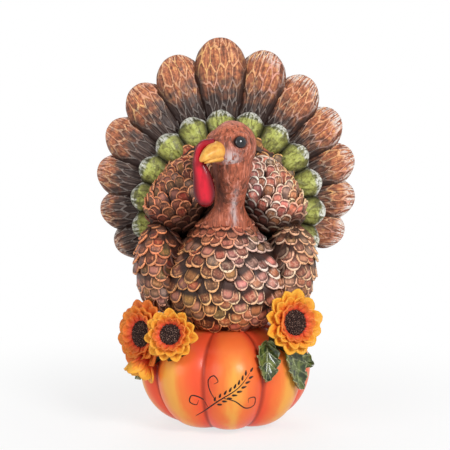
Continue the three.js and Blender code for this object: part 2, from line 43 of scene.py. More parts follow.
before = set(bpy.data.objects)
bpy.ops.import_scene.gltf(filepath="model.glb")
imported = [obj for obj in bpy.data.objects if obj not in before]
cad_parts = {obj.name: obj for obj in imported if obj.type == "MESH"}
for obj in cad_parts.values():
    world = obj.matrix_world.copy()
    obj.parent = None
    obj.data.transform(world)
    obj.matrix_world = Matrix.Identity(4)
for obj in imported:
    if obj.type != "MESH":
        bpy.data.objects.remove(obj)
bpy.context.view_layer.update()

MM = 0.001
BODY = "root"


# Properties

def length(name, description, millimetres):
    return FloatProperty(
        name=name, description=description, default=millimetres * MM, unit="LENGTH", precision=4
    )


def turn(name, description, degrees):
    return FloatProperty(
        name=name, description=description, default=math.radians(degrees), unit="ROTATION"
    )


def share(name, description, value):
    return FloatProperty(name=name, description=description, default=value, subtype="FACTOR")


def count(name, description, value):
    return IntProperty(name=name, description=description, default=value, min=1)


def linear(red, green, blue):
    """Screen colour, 0 to 255, as the linear colour that a shader takes."""
    screen = np.array((red, green, blue)) / 255
    low = screen / 12.92
    high = ((screen + 0.055) / 1.055) ** 2.4
    return tuple(float(c) for c in np.where(screen <= 0.04045, low, high))


def tint(name, description, *screen):
    return FloatVectorProperty(
        name=name, description=description, subtype="COLOR", size=3, min=0, max=1,
        default=linear(*screen),
    )


class PumpkinSizes(bpy.types.PropertyGroup):
    """Sizes of the pumpkin and its foot"""

    felt: length("Felt", "Thickness of the felt under the pumpkin", 1.5)
    radius: length("Radius", "Radius at the widest ring", 52.5)
    height: length("Height", "Height from the felt to the crown", 60)
    widest: length("Widest", "Height of the widest ring above the felt", 34)
    foot: length("Foot", "Radius of the flat foot", 23)
    crown: length("Crown", "Radius of the crown's ring", 22)
    dimple: length("Dimple", "Depth of the hollow in the crown", 5)
    lobes: count("Lobes", "Number of lobes", 8)
    groove: length("Groove", "Depth of the grooves between lobes", 6)
    groove_turn: turn("Groove turn", "Bearing of the groove nearest the front", -16.5)
    sprig_line: length("Sprig line", "Radius of the painted sprig's strokes", 0.42)


class BirdSizes(bpy.types.PropertyGroup):
    """Sizes of the turkey's body, neck and head"""

    body_width: length("Body width", "Half width of the body", 36)
    body_depth: length("Body depth", "Half depth of the body", 40)
    body_height: length("Body height", "Half height of the body", 39)
    body_middle: length("Body middle", "Height of the body's middle", 96.5)
    body_sag: share("Body sag", "How much fuller the belly is than the shoulders", 0.14)
    neck_radius: length("Neck radius", "Radius of the neck", 10.5)
    neck_flare: length("Neck flare", "Added to the neck's radius at the breast", 18.2)
    neck_bottom: length("Neck bottom", "Height of the neck's lower end", 113.5)
    head_side: length("Head side", "Place of the head along X", 4)
    head_forward: length("Head forward", "How far the head stands in front of the middle", 25)
    head_middle: length("Head middle", "Height of the head's middle", 173.5)
    head_width: length("Head width", "Half width of the head", 14)
    head_length: length("Head length", "Half length of the head", 15.2)
    head_height: length("Head height", "Half height of the head", 15.2)
    head_turn: turn("Head turn", "Turn of the head towards -X", 42)
    eye_radius: length("Eye radius", "Radius of each eye", 4.3)
    eye_angle: turn("Eye angle", "From the beak round to each eye", 65)
    eye_rise: turn("Eye rise", "Angle of the eyes above the head's middle", 14)
    eye_proud: length("Eye proud", "How far the eyes stand out", 1.4)
    beak_length: length("Beak length", "Length of the upper beak", 16)
    beak_width: length("Beak width", "Half width of the beak", 7.2)
    beak_height: length("Beak height", "Half height of the upper beak", 6)
    beak_drop: length("Beak drop", "How far the beak's tip hooks down", 5)
    beak_fall: length("Beak fall", "From the head's middle down to the beak's", 1.5)
    snood_length: length("Snood length", "Length of the snood's fall", 38.5)
    snood_top: length("Snood top", "Radius of the snood over the beak", 2.6)
    snood_end: length("Snood end", "Radius of the snood's lobe", 6.6)
    scale_width: length("Scale width", "Width of a breast feather", 9.2)
    scale_length: length("Scale length", "Length of a breast feather", 17)
    scale_proud: length("Scale proud", "Relief of a breast feather", 1.2)


class FanSizes(bpy.types.PropertyGroup):
    """Sizes of the tail and of the green feathers"""

    side: length("Side", "Place of the fan along X", 1.5)
    back: length("Back", "Place of the fan along Y", 34)
    middle: length("Middle", "Height of the fan's middle", 129.5)
    lean: turn("Lean", "How far the fan leans back", 5)
    step: turn("Step", "Turn from one tail feather to the next", 17.6)
    turn: turn("Turn", "Turn of the whole fan", -3)
    pairs: count("Pairs", "Pairs of tail feathers beside the top one", 6)
    root: length("Root", "Distance of the tail feathers' roots from the fan's middle", 22)
    top_reach: length("Top reach", "Reach of the top feather", 106)
    side_reach: length("Side reach", "Reach of the lowest feathers", 75)
    top_width: length("Top width", "Width of the top feather", 33)
    side_width: length("Side width", "Width of the lowest feathers", 26)
    thickness: length("Thickness", "Thickness of a tail feather", 3.6)
    crown: length("Crown", "Height of a tail feather's crown", 4.5)
    tilt: turn("Tilt", "How each feather is laid under its neighbour", 12)
    tuck: length("Tuck", "How far the pairs lie behind the top feather", 3.6)
    cells_across: FloatProperty(
        name="Cells across", description="Carved cells across a tail feather", default=5.8, min=0
    )
    cell_length: length("Cell length", "Spacing of the carved cells along a feather", 13)
    ridge: length("Ridge", "Height of the carved ridges", 0.7)
    coverts: count("Green feathers", "Number of green feathers", 12)
    covert_step: turn("Green step", "Turn from one green feather to the next", 19.5)
    covert_turn: turn("Green turn", "Turn of the first green feather", -102.5)
    covert_root: length("Green root", "Distance of the green feathers' roots", 34)
    covert_reach: length("Green reach", "Reach of the green feathers", 61)
    covert_width: length("Green width", "Width of a green feather", 19.5)
    covert_crown: length("Green crown", "Height of a green feather's crown", 3.6)
    covert_thickness: length("Green thickness", "Thickness of a green feather", 4)
    covert_forward: length("Green forward", "How far they stand in front of the tail", 7)
    mantle_radius: length("Mantle radius", "Radius of the scaled back behind the head", 45)
    mantle_depth: length("Mantle depth", "Depth of the mantle", 14)
    rump_radius: length("Rump radius", "Radius of the boss behind the fan", 30)
    rump_depth: length("Rump depth", "Half depth of the boss behind the fan", 12)


class FlowerSizes(bpy.types.PropertyGroup):
    """Sizes of the sunflowers, the bud and the leaves"""

    radius: length("Radius", "Radius of a sunflower of size one", 19)
    seed_share: share("Seed share", "Radius of the seed disc as a share of the flower's", 0.42)
    seed_dome: length("Seed dome", "Height of the seed disc's dome", 2)
    calyx_length: length("Calyx length", "Length of a flower's back", 16)
    calyx_drop: length("Calyx drop", "How far a flower's back leans down", 11)
    bud_radius: length("Bud radius", "Radius of the bud", 8.5)
    leaf_length: length("Leaf length", "Length of a leaf of size one", 27)
    leaf_width: length("Leaf width", "Width of a leaf of size one", 18)
    leaf_thickness: length("Leaf thickness", "Thickness of a leaf", 2)


class PaintColours(bpy.types.PropertyGroup):
    """Paints of the figure"""

    pumpkin_red: tint("Pumpkin red", "Shaded sides of the lobes", 236, 86, 50)
    pumpkin_orange: tint("Pumpkin orange", "Body of the lobes", 241, 122, 56)
    pumpkin_yellow: tint("Pumpkin yellow", "Streak down each lobe", 241, 172, 74)
    pumpkin_groove: tint("Pumpkin groove", "Wash in the grooves", 138, 40, 24)
    # Umber is the dark wash, and it also paints the shade in recesses, at feathers' roots and sides, and in
    # the gaps between them
    umber: tint("Umber", "Dark wash in the recesses", 44, 28, 24)
    skin_rust: tint("Skin rust", "Head and neck", 162, 86, 62)
    skin_orange: tint("Skin orange", "Brushed streaks on head and neck", 206, 118, 88)
    skin_brown: tint("Skin brown", "Shaded skin", 98, 55, 41)
    skin_pale: tint("Skin pale", "Dry-brushed cheek and throat", 206, 198, 198)
    beak: tint("Beak", "Beak", 242, 184, 88)
    beak_shade: tint("Beak shade", "Mouth line and root of the beak", 190, 110, 40)
    snood: tint("Snood", "Snood", 216, 26, 50)
    # Snood shade is the dark red of the folds and also the painted shade at the snood's edges and end
    snood_shade: tint("Snood shade", "Folds of the snood", 84, 4, 14)
    tail_cell: tint("Tail cell", "Carved cells of the tail", 190, 114, 80)
    tail_dark: tint("Tail dark", "Mottling of the cells", 108, 68, 52)
    tail_root: tint("Tail root", "Tail near its root", 96, 78, 70)
    tail_ridge: tint("Tail ridge", "Brushed ridges of the tail", 248, 192, 122)
    tail_pink: tint("Tail pink", "Cooler ridges of the tail", 228, 162, 142)
    tail_white: tint("Tail white", "Dry-brushed outer edges", 230, 222, 214)
    green: tint("Green", "Green feathers", 134, 134, 66)
    green_lime: tint("Green lime", "Brighter patches of the green", 196, 202, 104)
    green_brown: tint("Green brown", "Olive brown blotches of the green", 92, 84, 46)
    green_dark: tint("Green dark", "Shaded green", 52, 50, 36)
    green_white: tint("Green white", "Dry-brushed edges of the green", 232, 232, 224)
    petal_yellow: tint("Petal yellow", "Tips of the petals", 247, 180, 62)
    petal_orange: tint("Petal orange", "Middle of the petals", 243, 138, 50)
    petal_red: tint("Petal red", "Roots of the petals", 224, 78, 48)
    seed: tint("Seed", "Seed discs", 62, 40, 36)
    seed_speck: tint("Seed speck", "Brushed tops of the seeds", 150, 122, 108)
    leaf: tint("Leaf", "Leaves", 48, 60, 32)
    leaf_light: tint("Leaf light", "Brushed parts of the leaves", 108, 120, 60)
    leaf_vein: tint("Leaf vein", "Veins and edges of the leaves", 168, 174, 128)
    sprig: tint("Sprig", "Painted sprig on the pumpkin", 48, 26, 18)
    felt: tint("Felt", "Felt under the foot", 38, 44, 38)
    resin: tint("Resin", "Bare casting", 196, 188, 172)
    floor: tint("Floor", "Floor of the stage", 250, 250, 250)


# Mesh helpers

def deselect_all():
    bpy.ops.object.select_all(action="DESELECT")


def active_piece(name):
    piece = bpy.context.active_object
    piece.name = name
    piece.data.name = name
    return piece


def add_grid(name, columns, rows):
    deselect_all()
    bpy.ops.mesh.primitive_grid_add(x_subdivisions=columns, y_subdivisions=rows, size=2)
    return active_piece(name)


def add_ball(name, around, rows):
    deselect_all()
    bpy.ops.mesh.primitive_uv_sphere_add(segments=around, ring_count=rows, radius=1)
    return active_piece(name)


def points_of(piece):
    points = np.empty(len(piece.data.vertices) * 3, dtype=np.float32)
    piece.data.vertices.foreach_get("co", points)
    return points.reshape(-1, 3).astype(float)


def place_points(piece, points):
    piece.data.vertices.foreach_set("co", np.asarray(points, dtype=np.float32).ravel())
    piece.data.update()


def mark(piece, name, values):
    """Stores a number or a colour on each point, for the paint to read."""
    values = np.asarray(values, dtype=np.float32)
    if values.ndim == 1:
        piece.data.attributes.new(name, "FLOAT", "POINT").data.foreach_set("value", values)
        return
    colours = np.ones((len(values), 4), dtype=np.float32)
    colours[:, :3] = values
    piece.data.attributes.new(name, "FLOAT_COLOR", "POINT").data.foreach_set("color", colours.ravel())


def mark_both(piece, **marks):
    """Stores the same numbers on both sides of a thickened sheet."""
    for name, values in marks.items():
        mark(piece, name, np.tile(values, 2))


def map_tiles(piece, across, along):
    """UV map from each point's place across and along its tile."""
    layer = piece.data.uv_layers.active or piece.data.uv_layers.new(name="tile")
    corners = np.empty(len(piece.data.loops), dtype=np.int32)
    piece.data.loops.foreach_get("vertex_index", corners)
    uv = np.stack([across, along], axis=-1)[corners]
    layer.data.foreach_set("uv", uv.astype(np.float32).ravel())


def activate(piece):
    deselect_all()
    piece.select_set(True)
    bpy.context.view_layer.objects.active = piece


def edit(piece):
    activate(piece)
    bpy.ops.object.mode_set(mode="EDIT")
    bpy.ops.mesh.select_all(action="SELECT")


def leave_edit():
    bpy.ops.object.mode_set(mode="OBJECT")


def face_outwards(piece):
    edit(piece)
    bpy.ops.mesh.normals_make_consistent(inside=False)
    leave_edit()


def thicken(piece):
    """Gives a sheet a second side, whose points follow the first's in the same order."""
    activate(piece)
    modifier = piece.modifiers.new("Second side", "SOLIDIFY")
    modifier.thickness = MM
    modifier.offset = -1
    bpy.ops.object.modifier_apply(modifier=modifier.name)


def model_tile(name, columns, rows):
    """A slab over the grid's square, one unit thick, with one face underneath."""
    tile = add_grid(name, columns, rows)
    edit(tile)
    bpy.ops.mesh.extrude_region_move(TRANSFORM_OT_translate={"value": (0, 0, 1)})
    bpy.ops.mesh.select_all(action="DESELECT")
    leave_edit()
    for face in tile.data.polygons:
        face.select = all(tile.data.vertices[i].co.z < 0.5 for i in face.vertices)
    bpy.ops.object.mode_set(mode="EDIT")
    bpy.ops.mesh.select_mode(type="FACE")
    bpy.ops.mesh.dissolve_faces()
    bpy.ops.mesh.select_mode(type="VERT")
    leave_edit()
    face_outwards(tile)
    return tile


def take_tile(tile):
    """The tile's points and faces, for laying copies; the tile itself is cleared away."""
    points = points_of(tile)
    faces = [tuple(face.vertices) for face in tile.data.polygons]
    bpy.data.objects.remove(tile)
    return points, faces


def take_ball(around, rows):
    """Points and faces of a ball of radius one, to be shaped and joined with others."""
    return take_tile(add_ball("ball", around, rows))


def piece_from(name, points, faces):
    mesh = bpy.data.meshes.new(name)
    mesh.from_pydata(points.tolist(), [], faces)
    piece = bpy.data.objects.new(name, mesh)
    bpy.context.collection.objects.link(piece)
    return piece


def shifted(faces, start):
    """Faces of points that come after so many others."""
    return [tuple(corner + start for corner in face) for face in faces]


def copies(points, faces):
    """Faces of many copies, for points shaped (copies, points of one copy, 3)."""
    number, size, _ = points.shape
    return [face for start in range(0, number * size, size) for face in shifted(faces, start)]


def bearing_of(ball):
    """Bearing of a ball's points around +Z, 0 at the front and growing towards +X."""
    return np.arctan2(ball[:, 0], -ball[:, 1])


def rise_of(ball):
    """How far up a ball its points lie, by angle: 0 at its lowest, 1 at its highest."""
    return np.arcsin(np.clip(ball[:, 2], -1, 1)) / math.pi + 0.5


def finish_piece(piece, material, slot, *nodes):
    """Smooths a piece, paints it and hands it to the frame."""
    piece.data.materials.clear()
    piece.data.materials.append(material)
    piece.data.polygons.foreach_set("use_smooth", [True] * len(piece.data.polygons))
    piece.data.update()
    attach(piece, BODY)
    if nodes:
        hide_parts(*nodes)


# Numbers

def smooth(low, high, value):
    t = np.clip((value - low) / (high - low), 0, 1)
    return t * t * (3 - 2 * t)


def mix(a, b, t):
    return a + (b - a) * t


def xyz(x, y, z):
    """Points from their coordinates, each an array or one number for all."""
    return np.stack(np.broadcast_arrays(x, y, z), -1)


def hill(distance, width):
    """1 where a distance is nothing, falling off over that width."""
    return np.exp(-((distance / width) ** 2))


def cloud(points, size):
    """Smooth noise from -1 to 1, with lumps of about that size."""
    return np.array([noise.noise(Vector(p) / size) for p in points])


def unit(vectors):
    return vectors / np.maximum(np.linalg.norm(vectors, axis=-1, keepdims=True), 1e-12)


def moved(points, matrix):
    m = np.array(matrix)
    return points @ m[:3, :3].T + m[:3, 3]


def spline(stations, along):
    """A smooth path through the stations, from 0 at the first to 1 at the last."""
    last = len(stations) - 1
    ends = np.concatenate([
        [2 * stations[0] - stations[1]], stations, [2 * stations[-1] - stations[-2]]
    ])
    at = np.clip(along, 0, 1) * last
    i = np.minimum(np.floor(at).astype(int), last - 1)
    t = (at - i)[:, None]
    a, b, c, d = ends[i], ends[i + 1], ends[i + 2], ends[i + 3]
    return 0.5 * (
        2 * b + (c - a) * t + (2 * a - 5 * b + 4 * c - d) * t ** 2 + (3 * b - a - 3 * c + d) * t ** 3
    )


def heading(path, along):
    """The way ahead at places along a path."""
    step = 0.01
    return unit(path(np.minimum(1, along + step)) - path(np.maximum(0, along - step)))


# Paint

class Paint:
    """One material's nodes: coats laid one over another on a ground, and their finish."""

    BUMP_STRENGTH = 0.6
    VARNISH_ROUGHNESS = 0.12

    def __init__(self, name, ground=None):
        self.coat = ground
        self.material = bpy.data.materials.new(name)
        self.material.use_nodes = True
        self.tree = self.material.node_tree
        self.shader = self.tree.nodes["Principled BSDF"]
        self.coordinates = self.tree.nodes.new("ShaderNodeTexCoord")

    def feed(self, socket, value):
        if isinstance(value, bpy.types.NodeSocket):
            self.tree.links.new(value, socket)
        elif socket.type == "RGBA":
            socket.default_value = (*value, 1)
        else:
            socket.default_value = value

    def add(self, kind, **inputs):
        node = self.tree.nodes.new(kind)
        for name, value in inputs.items():
            self.feed(node.inputs[name], value)
        return node

    def attribute(self, name, output):
        node = self.tree.nodes.new("ShaderNodeAttribute")
        node.attribute_name = name
        return node.outputs[output]

    def number(self, name):
        return self.attribute(name, "Fac")

    def colour(self, name):
        return self.attribute(name, "Color")

    def lumps(self, space, scale, offset=0.0, detail=3.0, swirl=0.0):
        """Noise from 0 to 1 in a space of the piece, scaled along each axis."""
        mapping = self.add(
            "ShaderNodeMapping", Vector=self.coordinates.outputs[space], Scale=scale,
            Location=(offset, offset, offset),
        )
        node = self.add(
            "ShaderNodeTexNoise", Vector=mapping.outputs[0], Scale=1, Detail=detail, Distortion=swirl
        )
        return node.outputs["Fac"]

    def noise(self, size, stretch=(1, 1, 1), **kind):
        """Noise whose lumps are about that size, longer along an axis where stretch is larger."""
        return self.lumps("Object", [1 / (size * s) for s in stretch], **kind)

    def streak(self, across, along):
        """Noise laid out on the piece's own map, with about so many lumps across and along it."""
        return self.lumps("UV", (across, along, 1), detail=4)

    def step(self, value, low, high):
        node = self.add("ShaderNodeMapRange", **{"Value": value, "From Min": low, "From Max": high})
        node.interpolation_type = "SMOOTHSTEP"
        return node.outputs["Result"]

    def math(self, operation, a, b=0.0):
        node = self.tree.nodes.new("ShaderNodeMath")
        node.operation = operation
        self.feed(node.inputs[0], a)
        self.feed(node.inputs[1], b)
        return node.outputs[0]

    def times(self, *values):
        product = values[0]
        for value in values[1:]:
            product = self.math("MULTIPLY", product, value)
        return product

    def swing(self, noise, size):
        """Noise turned into a shift of up to half that size either way."""
        return self.times(self.math("SUBTRACT", noise, 0.5), size)

    def uneven(self, level, grain, spread):
        """A level that a grain raises by up to that spread."""
        return self.math("ADD", level, self.times(grain, spread))

    def blend(self, factor, a, b):
        node = self.tree.nodes.new("ShaderNodeMix")
        node.data_type = "RGBA"
        self.feed(node.inputs["Factor"], factor)
        self.feed(node.inputs["A"], a)
        self.feed(node.inputs["B"], b)
        return node.outputs["Result"]

    def cover(self, share, colour):
        """Lays a coat that hides this share of what is under it."""
        self.coat = self.blend(share, self.coat, colour)

    def lay(self, colour, value, low, high, strength=1.0):
        """Lays a coat where a value goes from low to high."""
        self.cover(self.times(self.step(value, low, high), strength), colour)

    def tile(self):
        """Place across a tile, as a distance from its middle of up to 1, and place along it."""
        split = self.add("ShaderNodeSeparateXYZ", Vector=self.coordinates.outputs["UV"])
        within = self.math("FRACT", split.outputs["X"])
        middle = self.math("SUBTRACT", self.math("MULTIPLY", within, 2.0), 1.0)
        return self.math("ABSOLUTE", middle), split.outputs["Y"]

    def done(self, roughness, height=None, depth=0.2 * MM, varnish=0.0, gloss=0.25):
        finish = {
            "Base Color": self.coat, "Roughness": roughness, "Specular IOR Level": gloss,
            "Coat Weight": varnish, "Coat Roughness": self.VARNISH_ROUGHNESS,
        }
        for name, value in finish.items():
            self.feed(self.shader.inputs[name], value)
        if height is not None:
            bump = self.add(
                "ShaderNodeBump", Height=height, Distance=depth, Strength=self.BUMP_STRENGTH
            )
            self.feed(self.shader.inputs["Normal"], bump.outputs["Normal"])
        return self.material


def feather_paint(colours):
    """Small feathers: roots darkened as painted shade under the feather above, brushed faces and bright rims,
    in each feather's own colours.
    """
    paint = Paint("feather paint")
    across, along = paint.tile()
    rim_colour = paint.colour("rim")
    brush = paint.noise(1.1 * MM, detail=5)
    stroke = paint.streak(3, 1.6)
    border = paint.math("MAXIMUM", paint.step(across, 0.5, 0.74), paint.step(along, 0.74, 0.87))
    rim = paint.math("MAXIMUM", paint.step(across, 0.79, 0.86), paint.step(along, 0.895, 0.93))
    paint.coat = paint.colour("face")
    paint.lay(colours.umber, stroke, 0.5, 0.34, 0.35)
    paint.lay(rim_colour, stroke, 0.5, 0.66, 0.4)
    paint.lay(rim_colour, brush, 0.52, 0.64, 0.35)
    paint.cover(paint.times(border, 0.7), colours.umber)
    # Painted shade: each feather's root, where the feather above lies over it, is darkened with umber
    paint.lay(colours.umber, along, 0.64, 0.47, paint.number("wash"))
    paint.lay(rim_colour, brush, 0.34, 0.46, paint.times(rim, paint.step(along, 0.48, 0.66)))
    return paint.done(paint.uneven(0.34, brush, 0.3), brush)


def tail_paint(colours):
    """Carved tail: copper cells between worn golden ridges, smoky towards the root, with painted shade along
    each feather's sides.
    """
    paint = Paint("tail paint", colours.tail_dark)
    along = paint.number("along")
    ridge = paint.number("ridge")
    side = paint.number("side")
    brush = paint.noise(1.3 * MM, detail=5)
    mottle = paint.noise(4.6 * MM, offset=5)
    streak = paint.streak(24, 5)
    grain = paint.times(paint.math("ADD", streak, paint.noise(2 * MM, detail=4, offset=8)), 0.5)
    wander = paint.math("ADD", along, paint.swing(mottle, 0.5))
    out = paint.math("SUBTRACT", wander, paint.number("smoke"))
    fade = paint.step(out, 0.5, 0.82)
    paint.lay(colours.tail_cell, grain, 0.36, 0.56)
    paint.lay(colours.tail_ridge, grain, 0.52, 0.64, 0.6)
    paint.lay(paint.blend(paint.step(streak, 0.4, 0.66), colours.umber, colours.tail_root), out, 0.82, 0.5)
    paint.lay(colours.umber, ridge, 0.5, 0.2, paint.times(paint.step(ridge, 0.02, 0.18), 0.2))
    line = paint.blend(paint.number("warm"), colours.tail_pink, colours.tail_ridge)
    line = paint.blend(fade, paint.blend(0.35, colours.tail_root, colours.tail_white), line)
    worn = paint.times(paint.step(brush, 0.34, 0.5), paint.uneven(0.45, fade, 0.5))
    paint.lay(line, ridge, 0.4, 0.75, worn)
    # Painted shade: the sides of each feather, where they roll back into the seams, are darkened
    paint.lay(colours.umber, side, 0.55, 0.98, 0.45)
    dry = paint.times(paint.number("frost"), paint.step(streak, 0.44, 0.58))
    paint.lay(colours.tail_white, brush, 0.36, 0.5, dry)
    # Painted shade again, deeper, along the sides below the tip
    paint.lay(colours.umber, side, 0.7, 0.95, paint.times(paint.step(along, 0.95, 0.7), 0.9))
    return paint.done(paint.uneven(0.3, brush, 0.3), brush)


def green_paint(colours):
    """Green feathers: olive with lime middles, painted shade at the roots and sides, and dry-brushed tips."""
    paint = Paint("green feather paint", colours.green)
    along = paint.number("along")
    side = paint.number("side")
    rim = paint.number("frost")
    brush = paint.noise(1.2 * MM, detail=5)
    blotch = paint.noise(4.2 * MM, detail=4, offset=3, swirl=1.0)
    streak = paint.streak(9, 3)
    paint.lay(colours.green_dark, streak, 0.5, 0.34, 0.4)
    middle = paint.times(paint.step(side, 0.9, 0.2), paint.step(along, 0.15, 0.6), 0.9)
    paint.lay(colours.green_lime, streak, 0.3, 0.55, middle)
    paint.lay(colours.green_brown, blotch, 0.52, 0.42, 0.6)
    paint.lay(colours.green_dark, paint.number("ridge"), 0.4, 0.8, 0.15)
    paint.lay(colours.green_dark, brush, 0.46, 0.34, 0.5)
    # Painted shade: darker towards the root, which lies under the mantle
    paint.lay(colours.green_dark, along, 0.5, 0.1)
    paint.lay(colours.green_dark, rim, 0.0, 0.5, paint.times(paint.step(blotch, 0.34, 0.52), 0.85))
    paint.lay(colours.green_dark, side, 0.66, 0.95, 0.8)
    stroke = paint.times(paint.step(rim, -0.1, 0.55), paint.step(streak, 0.45, 0.62))
    edge = paint.times(paint.step(rim, 0.65, 0.95), paint.step(streak, 0.32, 0.52))
    dry = paint.times(paint.math("MAXIMUM", stroke, edge), 0.9)
    paint.lay(colours.green_white, brush, 0.3, 0.56, dry)
    return paint.done(paint.uneven(0.26, brush, 0.25), brush)


def skin_paint(colours):
    """Head and neck: rust with brushed streaks, a pale cheek, dark sockets, and on the neck a pale stripe
    that is partly a painted highlight and dark marks that are painted shade.
    """
    paint = Paint("skin paint", colours.skin_brown)
    streak = paint.noise(1.6 * MM, stretch=(1, 1, 9), swirl=0.5)
    stroke = paint.noise(1.5 * MM, stretch=(1, 1, 6), detail=4, offset=2, swirl=0.8)
    blotch = paint.noise(5.5 * MM, offset=9, swirl=1.5)
    paint.lay(colours.skin_rust, streak, 0.36, 0.5)
    paint.lay(colours.skin_orange, stroke, 0.5, 0.64, 0.85)
    paint.lay(colours.skin_brown, blotch, 0.48, 0.34, 0.7)
    paint.lay(colours.skin_orange, blotch, 0.54, 0.68, 0.5)
    paint.lay(colours.skin_pale, stroke, 0.58, 0.7, 0.28)
    paint.lay(colours.skin_orange, stroke, 0.4, 0.56, paint.number("orange"))
    paint.lay(colours.skin_pale, stroke, 0.34, 0.52, paint.number("pale"))
    paint.cover(paint.number("dark"), colours.umber)
    return paint.done(paint.uneven(0.34, stroke, 0.22), streak, 0.4 * MM)


def pumpkin_paint(colours):
    """Orange lobes with a yellow streak down each, red at the crown and dark in the grooves."""
    paint = Paint("pumpkin paint", colours.pumpkin_red)
    crest = paint.number("crest")
    rise = paint.number("rise")
    streak = paint.noise(6 * MM, stretch=(1, 1, 7))
    soft = paint.noise(22 * MM, stretch=(1, 1, 3), offset=4)
    across = paint.math("ADD", crest, paint.swing(soft, 0.9))
    glow = paint.math("ADD", across, paint.swing(streak, 0.5))
    paint.lay(colours.pumpkin_orange, across, 0.15, 0.65)
    paint.lay(colours.pumpkin_yellow, glow, 0.55, 0.95, paint.times(paint.step(rise, 0.95, 0.62), 0.95))
    paint.lay(colours.pumpkin_red, rise, 0.7, 1.0, 0.4)
    paint.lay(colours.pumpkin_groove, crest, 0.13, 0.0, 0.75)
    return paint.done(paint.uneven(0.28, streak, 0.12), streak, 0.08 * MM, varnish=0.08)


def petal_paint(colours):
    """Petals: red at the root, orange, then yellow at the tip, with a red crease."""
    paint = Paint("petal paint", colours.petal_red)
    across, along = paint.tile()
    brush = paint.noise(1.2 * MM, detail=4)
    reach = paint.math("ADD", along, paint.swing(brush, 0.35))
    paint.lay(colours.petal_orange, reach, 0.16, 0.46)
    paint.lay(colours.petal_yellow, reach, 0.42, 0.72)
    paint.lay(colours.petal_red, across, 0.2, 0.0, paint.times(paint.step(along, 0.95, 0.6), 0.55))
    paint.cover(paint.times(paint.number("ruddy"), 0.75), colours.petal_red)
    return paint.done(paint.uneven(0.34, brush, 0.2), brush)


def seed_paint(colours):
    """Seeds: dark brown with brushed tops."""
    paint = Paint("seed paint", colours.umber)
    brush = paint.noise(0.9 * MM, detail=4)
    paint.lay(colours.seed, brush, 0.35, 0.6)
    paint.lay(colours.seed_speck, brush, 0.5, 0.62, paint.number("top"))
    return paint.done(paint.uneven(0.4, brush, 1.0), brush)


def leaf_paint(colours):
    """Leaves: mottled green under a coat of varnish, with brushed veins and edges."""
    paint = Paint("leaf paint", colours.leaf)
    brush = paint.noise(1.2 * MM, detail=4)
    mottle = paint.noise(5 * MM, offset=6)
    line = paint.math("MAXIMUM", paint.number("vein"), paint.step(paint.number("edge"), 0.88, 1.0))
    paint.lay(colours.leaf_light, mottle, 0.4, 0.62)
    paint.lay(colours.umber, brush, 0.5, 0.3, 0.5)
    paint.lay(colours.leaf_vein, brush, 0.34, 0.54, paint.times(line, 0.85))
    return paint.done(paint.uneven(0.14, brush, 0.16), brush, varnish=0.5)


def paint_mid(a, b):
    return tuple((p + q) / 2 for p, q in zip(a, b))


def beak_paint(colours):
    """Beak: cloudy yellow, darker at its root and nostrils."""
    paint = Paint("beak paint", paint_mid(colours.beak, colours.beak_shade))
    brush = paint.noise(2.5 * MM)
    paint.lay(colours.beak, brush, 0.3, 0.7)
    paint.cover(paint.number("dark"), colours.beak_shade)
    return paint.done(paint.uneven(0.26, brush, 0.12), brush, 0.1 * MM)


def snood_paint(colours):
    """Snood: red flesh with soft folds, with painted shade at its edges and end, and darker at its top."""
    paint = Paint("snood paint", paint_mid(colours.snood_shade, colours.snood))
    fold = paint.noise(4 * MM, stretch=(1, 1, 3))
    paint.lay(colours.snood, fold, 0.3, 0.6)
    paint.cover(paint.number("dark"), colours.snood_shade)
    return paint.done(paint.uneven(0.12, fold, 0.1), fold, 0.3 * MM, varnish=0.1, gloss=0.3)


EYE_BLACKS = ((0.002, 0.002, 0.003), (0.012, 0.012, 0.016))


def eye_paint():
    """Eyes: polished black, barely mottled."""
    paint = Paint("eye paint", EYE_BLACKS[0])
    depth = paint.noise(3 * MM)
    paint.cover(depth, EYE_BLACKS[1])
    return paint.done(paint.uneven(0.07, depth, 0.05), gloss=0.55)


def plain_paint(name, colour, shade, roughness, size):
    """A single paint with a little mottling, for the sprig, felt, plate, calyxes and the dark wash that also
    paints the shade between feathers.
    """
    paint = Paint(name, shade)
    grain = paint.noise(size, detail=5)
    paint.lay(colour, grain, 0.3, 0.7)
    return paint.done(paint.uneven(roughness, grain, 0.1), grain)


def shade_wash_paint(colours):
    """The dark wash on the cores, which shows between the small feathers and paints the shade in those gaps
    too.
    """
    return plain_paint("umber wash", colours.umber, colours.tail_root, 0.5, 4 * MM)


# Surfaces

def facing(bearing, rise):
    """The way that a bearing from the front and an angle above the level look."""
    level = math.cos(rise)
    return Vector((math.sin(bearing) * level, -math.cos(bearing) * level, math.sin(rise)))


def lobe_place(pumpkin, bearing):
    """Place across a lobe: 0 on its crest, -1 and 1 in the grooves beside it."""
    lobes = pumpkin.lobes * (bearing - pumpkin.groove_turn) / (2 * math.pi)
    return 2 * (lobes - np.floor(lobes)) - 1


def pumpkin_point(pumpkin, bearing, angle):
    """Ribbed skin by bearing from the front and angle up the profile, -90 at the foot."""
    low = angle < 0
    inner = np.where(low, pumpkin.foot, pumpkin.crown)
    rise = np.where(low, pumpkin.widest, pumpkin.height - pumpkin.widest)
    radius = inner + (pumpkin.radius - inner) * np.cos(angle)
    height = pumpkin.felt + pumpkin.widest + rise * np.sin(angle)
    return ribbed(pumpkin, bearing, radius, height)


def ribbed(pumpkin, bearing, radius, height):
    cut = pumpkin.groove * lobe_place(pumpkin, bearing) ** 2 * np.minimum(1, radius / pumpkin.crown)
    radius = radius - cut
    return xyz(radius * np.sin(bearing), -radius * np.cos(bearing), height)


